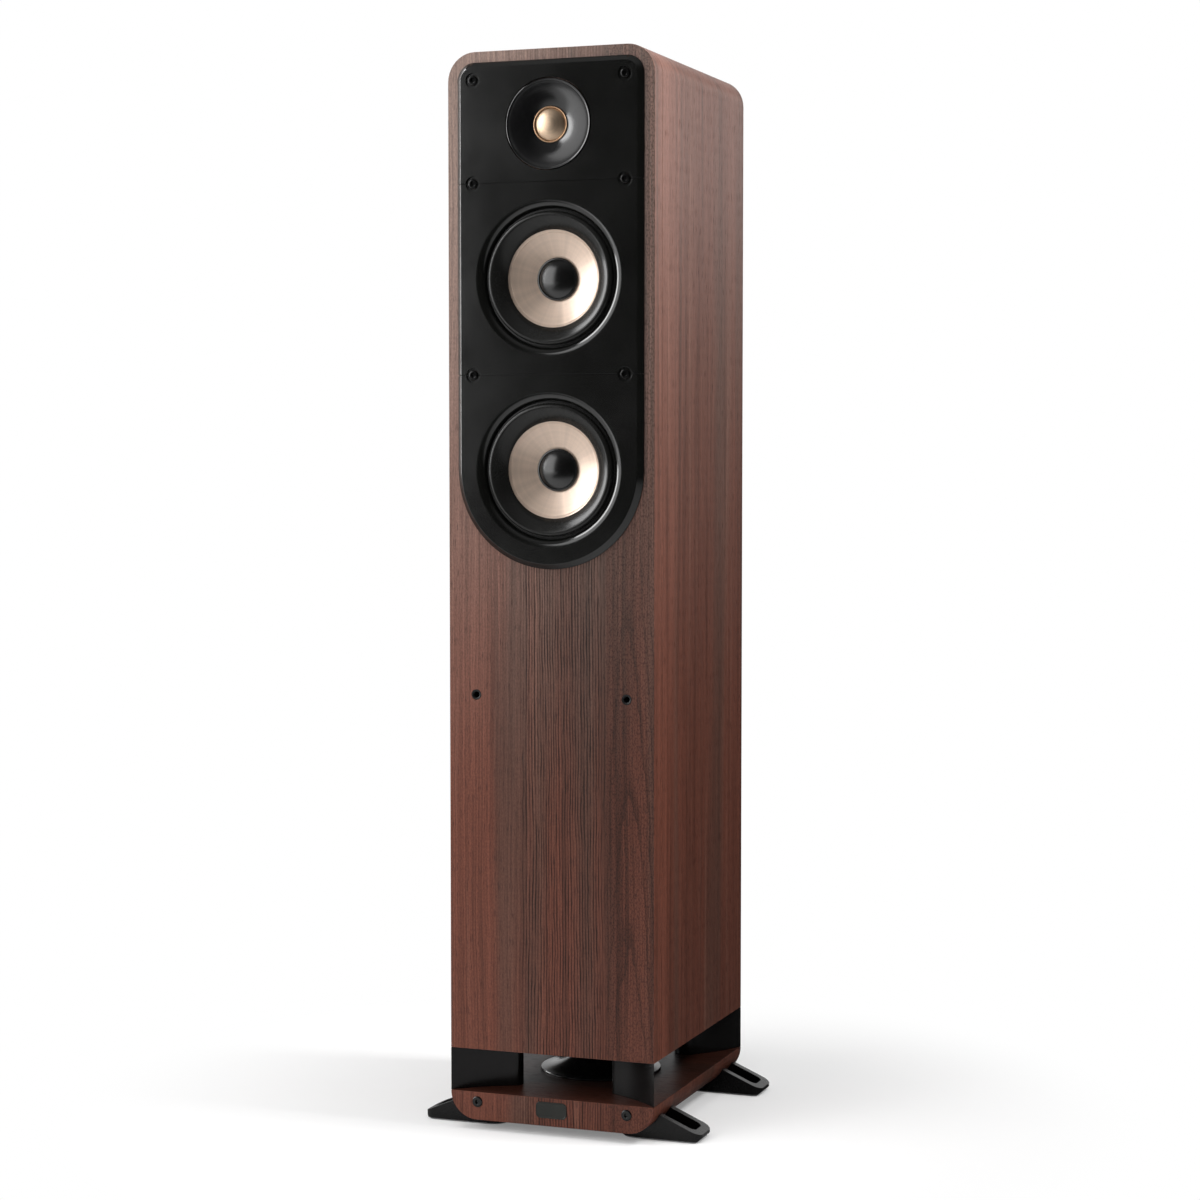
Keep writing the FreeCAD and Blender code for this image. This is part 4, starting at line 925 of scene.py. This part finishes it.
for place, z in wooferZ.items():
    for build in (buildSurround, buildCone, buildDustCap, buildSpider):
        build(place.capitalize(), "woofer_" + place, z)
print("woofers done")


portSettings = {
    "disc": 55.0, "discEdge": 2.0, "sweep": 47.0,
    "radius": 27.0, "wall": 2.5, "flare": 13.0, "flange": 44.0, "flangeThick": 3.0,
}


def buildPortCone():
    s = portSettings
    disc = s["disc"]
    lift = s["discEdge"] + s["sweep"]
    sweep = cornerArc(disc, lift, s["sweep"], 270, 180, 40)
    tip = cornerArc(0, lift, disc - s["sweep"], 0, 90, 10)
    profile = [(0, 0.01), (disc - 0.5, 0.01), (disc, 0.5), (disc, 1.5), (disc - 0.4, 1.95)]
    profile += sweep[2:] + tip[1:]
    cone = turnProfile("portCone", profile, (0, middle, plateHigh.z), (0, 0, 1), 160, closed=False)
    finishPiece(cone, "cone_gloss", "glossBlack", "port_cone")


def buildPortTube():
    s = portSettings
    low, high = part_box("port_tube")
    length = (high.z - low.z) / mm
    radius, flare, flange, thick = s["radius"], s["flare"], s["flange"], s["flangeThick"]
    outer = radius + s["wall"]
    profile = [(radius, length)] + cornerArc(radius + flare, flare, flare, 180, 270, 16)
    profile += [(flange - 0.6, 0), (flange, 0.6), (flange, thick), (radius + flare + 2, thick)]
    profile += [(outer, flare + s["wall"]), (outer, length)]
    tube = turnProfile("portTube", profile, (0, middle, low.z), (0, 0, 1), 128)
    finishPiece(tube, "port_plastic", "portPlastic", "port_tube")


buildPortCone()
buildPortTube()
print("port done")


plateSettings = {
    "corner": 24.5, "edge": 0.6, "screwGap": 0.15, "screwSeat": 2.3,
    "badgeHalfX": 14.3, "badgeHalfZ": 7.1, "badgeCorner": 4.0, "badgeGap": 0.1, "badgeSeat": 1.5,
    "badgeRim": 0.8, "badgeRimSlope": 0.2, "badgeSunk": 0.25,
}


def badgeBlock(name, gap, y0, y1):
    s = plateSettings
    halfX, halfZ = (s["badgeHalfX"] + gap) * mm, (s["badgeHalfZ"] + gap) * mm
    outline = roundedRectangle(halfX, halfZ, s["badgeCorner"] * mm)
    z = centreOf("base_badge").z
    return pushOutline(name, upright([(x, up + z) for x, up in outline], y0), (0, y1 - y0, 0))


def buildBasePlate():
    s = plateSettings
    radius = s["corner"] * mm
    low, high = plateLow.z, plateHigh.z
    left = cornerArc(-sideX + radius, low + radius, radius, 180, 270, 16)
    right = cornerArc(sideX - radius, low + radius, radius, 270, 360, 16)
    outline = [(-sideX, high)] + left + right + [(sideX, high)]
    plate = pushOutline("basePlate", upright(outline, face), (0, back - face, 0))
    softenEdges(plate, s["edge"])
    seat = (baseHead + s["screwGap"]) * mm
    for x, z in baseScrewPlaces:
        carve(plate, drillY(x, z, seat, face - past, face + s["screwSeat"] * mm, 48))
    carve(plate, badgeBlock("badgeSeat", s["badgeGap"], face - past, face + s["badgeSeat"] * mm))
    flatten(plate)
    finishPiece(plate, "wood_finish", "plateWood", "base_plate")


def buildBadge():
    s = plateSettings
    low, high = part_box("base_badge")
    badge = badgeBlock("baseBadge", 0, low.y, high.y)
    pickFaces(badge, lambda polygon: polygon.normal.y < -0.9)
    bpy.ops.mesh.inset(thickness=s["badgeRim"] * mm)
    bpy.ops.mesh.inset(thickness=s["badgeRimSlope"] * mm, depth=-s["badgeSunk"] * mm)
    leaveEdit()
    softenEdges(badge, 0.12, 2)
    finishPiece(badge, "badge_metal", "badgeMetal", "base_badge")


postSettings = {
    "sideBow": (21, 18), "end": (50, 34), "nose": (50, 47), "noseEnd": (31, 46), "innerBow": (13, 25),
}


def buildPosts():
    # the outline starts at the cabinet's corner: across, then back
    s = postSettings
    low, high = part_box("post_front_left")
    outline = arcThrough((0, 0), s["sideBow"], s["end"], 20)
    outline += arcThrough(s["end"], s["nose"], s["noseEnd"], 20)[1:]
    outline += arcThrough(s["noseEnd"], s["innerBow"], (0, 0), 20)[1:-1]
    points = [Vector((-sideX + across * mm, face + along * mm, low.z)) for across, along in outline]
    first = pushOutline("postFrontLeft", points, (0, 0, high.z - low.z))
    softenEdges(first, 0.35, 2, 50)
    places = {
        "postFrontRight": ("post_front_right", 0, (-1, 1, 1)),
        "postRearLeft": ("post_rear_left", 2 * middle, (1, -1, 1)),
        "postRearRight": ("post_rear_right", 2 * middle, (-1, -1, 1)),
    }
    for name, (node, shift, mirror) in places.items():
        finishPiece(copyPiece(first, name, (0, shift, 0), mirror), "satin_black", "postPaint", node)
    finishPiece(first, "satin_black", "postPaint", "post_front_left")


buildBasePlate()
buildBadge()
buildPosts()
print("base done")


footSettings = {
    "half": 18.0, "tipRadius": 9.0, "shoulder": 22.0, "tip": 7.0, "reach": 35.0, "toe": 3.0,
    "bossInset": 24.0, "rim": 7.0, "slotInset": 7.0, "floor": 3.0, "edge": 0.9, "plateGap": 0.3,
    "boltHead": 5.3, "boltBore": 3.3, "boltSeat": 2.5, "padInset": 1.5,
}


def footPlan(inset, y, z):
    s = footSettings
    side = sideX / mm
    half = s["half"] - inset
    outline = roundedEnd(side + s["reach"] - inset, half, s["tipRadius"] - inset)
    return level(outline + cornerArc(side - s["bossInset"], 0, half, 90, 270, 24), y, z)


def footSide(side, tip, bottom):
    # seen from the front: flat below, sloped on top, cut to the plate's rounded edge
    s = footSettings
    corner = plateSettings["corner"]
    under = plateLow.z / mm
    slope = (s["shoulder"] - s["tip"]) / s["reach"]
    inner = side - s["bossInset"] - 40
    arc = cornerArc(side - corner, under + corner, corner + s["plateGap"], 270, 356, 20)
    arc = [(x, z) for x, z in arc if z < s["tip"] + slope * (tip - x)]
    last = arc[-1][0] + 0.2
    outline = [(inner, bottom), (tip - s["toe"], bottom), (tip, bottom + s["toe"]), (tip, s["tip"])]
    outline += [(last, s["tip"] + slope * (tip - last))] + arc[::-1]
    return outline + [(side - corner - 4, under), (inner, under)]


def spreadFeet(first, names, span):
    # the right rear, left front and left rear copies of a right front piece
    moves = (((0, span, 0), (1, 1, 1)), ((0, 0, 0), (-1, 1, 1)), ((0, span, 0), (-1, 1, 1)))
    return [first] + [copyPiece(first, name, move, mirror) for name, (move, mirror) in zip(names, moves)]


def buildFeet():
    s = footSettings
    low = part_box("foot_front_right")[0]
    y = centreOf("foot_front_right").y
    span = centreOf("foot_rear_right").y - y
    side, bottom = sideX / mm, low.z / mm
    tip = side + s["reach"]
    boltX = (side - s["bossInset"]) * mm
    foot = pushOutline("footFrontRight", footPlan(0, y, low.z), (0, 0, 26 * mm))
    points = [Vector((x * mm, y - 0.03, z * mm)) for x, z in footSide(side, tip, bottom)]
    carve(foot, pushOutline("footSide", points, (0, 0.06, 0)), operation="INTERSECT")
    half = s["half"] - s["rim"]
    start = side - s["slotInset"]
    slot = level(roundedEnd(tip - s["rim"], half, half / 2) + [(start, half), (start, -half)],
                 y, (bottom + s["floor"]) * mm)
    carve(foot, pushOutline("footSlot", slot, (0, 0, 0.03)),
          drillZ(boltX, y, s["boltHead"] * mm, 0, plateLow.z - s["boltSeat"] * mm),
          drillZ(boltX, y, s["boltBore"] * mm, 0, plateLow.z + past))
    softenEdges(foot, s["edge"], 3, 28)
    feet = spreadFeet(foot, ("footRearRight", "footFrontLeft", "footRearLeft"), span)
    for piece, corner in zip(feet, ("front_right", "rear_right", "front_left", "rear_left")):
        finishPiece(piece, "satin_black", "footPaint", "foot_" + corner)

    pad = pushOutline("footPads", footPlan(s["padInset"], y, 0), (0, 0, low.z))
    end = (tip - s["toe"] - s["padInset"]) * mm
    carve(pad, block(end, end + 0.02, y - 0.03, y + 0.03, -past, past),
          drillZ(boltX, y, s["boltHead"] * mm, -past, past))
    softenEdges(pad, 0.3, 2)
    pads = joinPieces(spreadFeet(pad, ("padB", "padC", "padD"), span), "footPads")
    finishPiece(pads, "pad_rubber", "padRubber", "foot_pads")


buildFeet()
print("feet done")


terminalSettings = {
    "rim": 9.0, "wall": 2.5, "corner": 8.0, "tubCorner": 4.0, "flange": 2.5, "studHole": 3.0,
    "bore": 3.06, "plugBore": 2.6, "plugLip": 1.5, "capRadius": 7.8,
    "flutes": 12, "fluteCircle": 8.2, "fluteRadius": 1.1, "fluteFrom": 3.0,
    "ringBore": 3.3, "ringRadius": 6.5,
}
rearSettings = {"edge": 0.8, "gap": 0.1, "cupGap": 0.3}


def buildRearBoard():
    s = rearSettings
    gap = s["gap"] * mm
    radius = (cabinetSettings["corner"] - cabinetSettings["wall"]) * mm
    outline = archOutline(rearHigh.x - gap, rearLow.z, rearHigh.z - gap, radius)
    board = pushOutline("rearBoard", upright(outline, rearLow.y), (0, back - rearLow.y, 0))
    low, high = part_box("terminal_cup")
    rim = (terminalSettings["rim"] - terminalSettings["wall"] - s["cupGap"]) * mm
    carve(board, block(low.x + rim, high.x - rim, rearLow.y - past, back + past, low.z + rim, high.z - rim))
    softenEdges(board, s["edge"])
    finishPiece(board, "rear_board", "rearLaminate", "rear_panel")


def buildTerminalCup(z):
    s = terminalSettings
    low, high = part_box("terminal_cup")
    halfX, halfZ = high.x / mm, (high.z - low.z) / 2 / mm
    flangeY = high.y - s["flange"] * mm

    def cupBlock(name, inset, corner, y, depth):
        outline = roundedRectangle(halfX - inset, halfZ - inset, corner, 6)
        points = [Vector((x * mm, y, z + up * mm)) for x, up in outline]
        return pushOutline(name, points, (0, depth, 0))

    cup = cupBlock("terminalCup", 0, s["corner"], flangeY, s["flange"] * mm)
    tub = cupBlock("tub", s["rim"] - s["wall"], s["tubCorner"], low.y, flangeY - low.y + 0.5 * mm)
    carve(cup, tub, operation="UNION")
    carve(cup, cupBlock("hollow", s["rim"], s["tubCorner"], low.y + s["wall"] * mm, 0.05))
    studX = centreOf("clamp_ring_black").x
    for x in (-studX, studX):
        carve(cup, drillY(x, z, s["studHole"] * mm, low.y - past, low.y + past, 32))
    softenEdges(cup, 0.6, 2)
    finishPiece(cup, "terminal_plastic", "terminalPlastic", "terminal_cup")


def buildTerminal(color, z):
    s = terminalSettings
    body = "cap_" + color
    node = "terminal_" + body
    low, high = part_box(node)
    x = centreOf(node).x
    length = (high.y - low.y) / mm
    outer, bore, plugBore = s["capRadius"], s["bore"], s["plugBore"]
    profile = [(bore, 0), (outer - 0.6, 0), (outer, 0.6), (outer, length - 1.4), (outer - 0.4, length - 0.4),
               (outer - 1.2, length), (plugBore, length), (plugBore, length - s["plugLip"]),
               (bore, length - s["plugLip"])]
    cap = turnProfile("terminalCap" + color.capitalize(), profile, (x, low.y, z), steps=72)
    reach = s["fluteCircle"] * mm
    flutes = []
    for i in range(s["flutes"]):
        angle = 2 * math.pi * i / s["flutes"]
        flutes.append(drillY(x + reach * math.cos(angle), z + reach * math.sin(angle), s["fluteRadius"] * mm,
                             low.y + s["fluteFrom"] * mm, high.y + past, 16))
    smooth(carve(cap, joinPieces(flutes, "flutes")))
    finishPiece(cap, body, color + "Plastic", node, body=body)

    ringNode = "clamp_ring_" + color
    low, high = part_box(ringNode)
    thick = (high.y - low.y) / mm
    outer, bore = s["ringRadius"], s["ringBore"]
    profile = [(bore, 0), (outer - 0.3, 0), (outer, 0.3),
               (outer, thick - 0.3), (outer - 0.3, thick), (bore, thick)]
    ring = turnProfile("clampRing" + color.capitalize(), profile, (x, low.y, z), steps=64)
    finishPiece(ring, "plated_brass", "platedBrass", ringNode, body="clamp_" + color)


cupZ = centreOf("terminal_cup").z
buildRearBoard()
buildTerminalCup(cupZ)
for color in ("red", "black"):
    buildTerminal(color, cupZ)
print("rear board and terminals done")


waddingSettings = {"thick": 18.0, "sideInset": 1.0, "edgeInset": 4.0, "cuts": 10, "puff": 0.003, "lump": 0.03}


def buildWadding():
    s = waddingSettings
    low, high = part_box("wadding")
    inset, edge = s["sideInset"] * mm, s["edgeInset"] * mm
    sheets = []
    for side in (-1, 1):
        x0, x1 = sorted((side * high.x, side * (high.x - s["thick"] * mm)))
        sheet = block(x0 + inset, x1 - inset, low.y + edge, high.y - edge, low.z + edge, high.z - edge)
        editAll(sheet)
        bpy.ops.mesh.subdivide(number_cuts=s["cuts"])
        leaveEdit()
        applyModifier(sheet, "SUBSURF", levels=1, render_levels=1)
        lumps = bpy.data.textures.new("lumps", "CLOUDS")
        lumps.noise_scale = s["lump"]
        applyModifier(sheet, "DISPLACE", texture=lumps, strength=s["puff"], texture_coords="LOCAL")
        sheets.append(smooth(sheet, 80))
    sheets = joinPieces(sheets, "waddingSheets")
    finishPiece(sheets, "wadding", "fleece", "wadding")


buildWadding()
print("wadding done")


# nodes that keep their own shape
keptFinishes = {
    "bottom_panel": "rearLaminate", "brace": "bareBoard", "tweeter_chamber": "socketPlastic",
    "tweeter_motor": "bareSteel", "woofer_screws": "screwSteel", "base_bolts": "screwSteel",
    "terminal_studs": "platedBrass", "crossover_board": "boardGreen", "crossover_parts": "copperFilm",
    "wiring": "wireSheath",
}
driverFinishes = {
    "basket": "basketPaint", "magnet": "ferriteGrey", "yoke": "bareSteel", "voice_coil": "formerFoil",
}
for place in wooferZ:
    for part, finish in driverFinishes.items():
        keptFinishes["woofer_" + place + "_" + part] = finish
for node, finish in keptFinishes.items():
    wear(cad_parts[node], finish)
print("kept nodes finished")


studio = {
    "floorTones": (0.79, 0.81), "floorGlow": 0.20, "floorFade": (0.21, 0.50), "ambient": 0.34,
    "mirrorFront": 0.02, "mirrorTop": 0.20, "mirrorBack": 0.85,
    "lens": 79.96, "turn": 20.313, "tilt": 3.287, "eye": (0.83772, -2.14015, 0.60188),
}
lamps = {
    "key": {"place": (-2.18, -2.20, 1.50), "size": (2.2, 2.9), "power": 41, "aim": (0, 0, 0.95)},
    "edge": {"place": (-2.40, 0.0, 1.62), "size": (2.6, 2.4), "power": 165, "aim": (0, 0, 1.0),
             "diffuse": False},
    "fill": {"place": (-1.20, -2.60, 1.70), "size": (1.6, 1.6), "power": 27, "aim": (0, 0, 0.6),
             "mirrored": False},
    "rim": {"place": (1.25, 2.7, 1.45), "size": (1.5, 0.9), "power": 6, "aim": (0, 0, 0.9)},
    "side": {"place": (1.30, 0.10, 1.80), "size": (0.6, 0.6), "power": 5, "aim": (0.095, 0, 0.88),
             "spread": 60, "mirrored": False},
    "top": {"place": (-0.3, -0.8, 3.0), "size": (1.8, 1.8), "power": 30, "aim": (0, 0, 0.5),
            "mirrored": False},
}


def rays(tree, *kinds):
    node = addNode(tree, "ShaderNodeLightPath")
    return [Wire(node.outputs["Is " + kind + " Ray"]) for kind in kinds]


def buildFloor():
    s = studio
    clearSelection()
    bpy.ops.mesh.primitive_plane_add(size=14, location=(0, 0, 0))
    floor = rename(bpy.context.object, "floor")
    low, high = [(tone, tone, tone) for tone in s["floorTones"]]
    material, tree, shader = openMaterial("paleFloor", low, 0.9, 0, 0.0)
    tree.nodes.remove(shader)
    camera, glossy = rays(tree, "Camera", "Glossy")
    place = coordinates(tree)
    x, y, _ = split(place)
    tint = colorRamp(noise(place, 30, 2, 0.5), (0.0, low), (1.0, high))
    # mirrored in the part, the floor is bright in front and dim behind
    behind = stepBetween(y, -0.35, 0.15, 0.25, 0.94)
    beyond = stepBetween(y, -1.5, -0.9, 0.96, 0.0) * stepBetween(x, -1.3, -0.8)
    tint = mixColors(glossy * maths("MAXIMUM", behind, beyond), tint, (0.0, 0.0, 0.0))
    matt = Wire(addNode(tree, "ShaderNodeBsdfDiffuse", {"Color": tint}).outputs[0])
    glow = Wire(addNode(tree, "ShaderNodeEmission", {"Strength": camera * s["floorGlow"]}).outputs[0])
    near = Wire(addNode(tree, "ShaderNodeAddShader", {0: matt, 1: glow}).outputs[0])
    # seen straight on, the floor fades into the white beyond it
    away = camera * stepBetween(lengthOf(x, y), *s["floorFade"])
    white = Wire(addNode(tree, "ShaderNodeEmission", {"Strength": 1.0}).outputs[0])
    both = Wire(addNode(tree, "ShaderNodeMixShader", {0: away, 1: near, 2: white}).outputs[0])
    plug(both, tree.nodes["Material Output"].inputs["Surface"])
    floor.data.materials.append(material)


def buildWorld():
    s = studio
    world = bpy.data.worlds.new("studioWorld")
    bpy.context.scene.world = world
    world.use_nodes = True
    tree = world.node_tree
    background = tree.nodes["Background"]
    camera, glossy, transmission = rays(tree, "Camera", "Glossy", "Transmission")
    x, y, z = split(coordinates(tree, "Generated"))
    overhead = stepBetween(z, 0.45, 0.95, 0.0, s["mirrorTop"] - s["mirrorFront"])
    leftBack = stepBetween(y, 0.70, 0.92) * stepBetween(x, 0.0, 0.25, 1.0, 0.0)
    rightBack = stepBetween(y, 0.3, 0.8) * stepBetween(x, 0.0, 0.25)
    mirrored = overhead + s["mirrorFront"] + leftBack * s["mirrorBack"] - rightBack * s["mirrorFront"]
    strength = choose(glossy, s["ambient"], mirrored)
    strength = choose(maths("MAXIMUM", camera, transmission), strength, 1.0)
    plug(strength, background.inputs["Strength"])
    background.inputs["Color"].default_value = (1, 1, 1, 1)
    bpy.context.scene.view_settings.view_transform = "Standard"


def buildLamp(name, s):
    light = bpy.data.lights.new(name + "Light", "AREA")
    light.shape = "RECTANGLE"
    light.size, light.size_y = s["size"]
    light.energy = s["power"]
    light.spread = math.radians(s.get("spread", 180))
    lamp = bpy.data.objects.new(name + "Light", light)
    bpy.context.scene.collection.objects.link(lamp)
    lamp.location = s["place"]
    lamp.rotation_euler = (Vector(s["place"]) - Vector(s["aim"])).to_track_quat("Z", "Y").to_euler()
    lamp.visible_camera = False
    lamp.visible_glossy = s.get("mirrored", True)
    lamp.visible_diffuse = s.get("diffuse", True)


def buildCamera():
    camera = bpy.data.cameras.new("camera")
    camera.lens = studio["lens"]
    camera.sensor_width = 36
    seat = bpy.data.objects.new("camera", camera)
    bpy.context.scene.collection.objects.link(seat)
    x, y, z = studio["eye"]
    seat.location = (x, face + y, z)
    seat.rotation_euler = (math.radians(90 - studio["tilt"]), 0, math.radians(studio["turn"]))
    bpy.context.scene.camera = seat


buildFloor()
buildWorld()
for name, lampSettings in lamps.items():
    buildLamp(name, lampSettings)
buildCamera()
clearSelection()
print("scene ready")
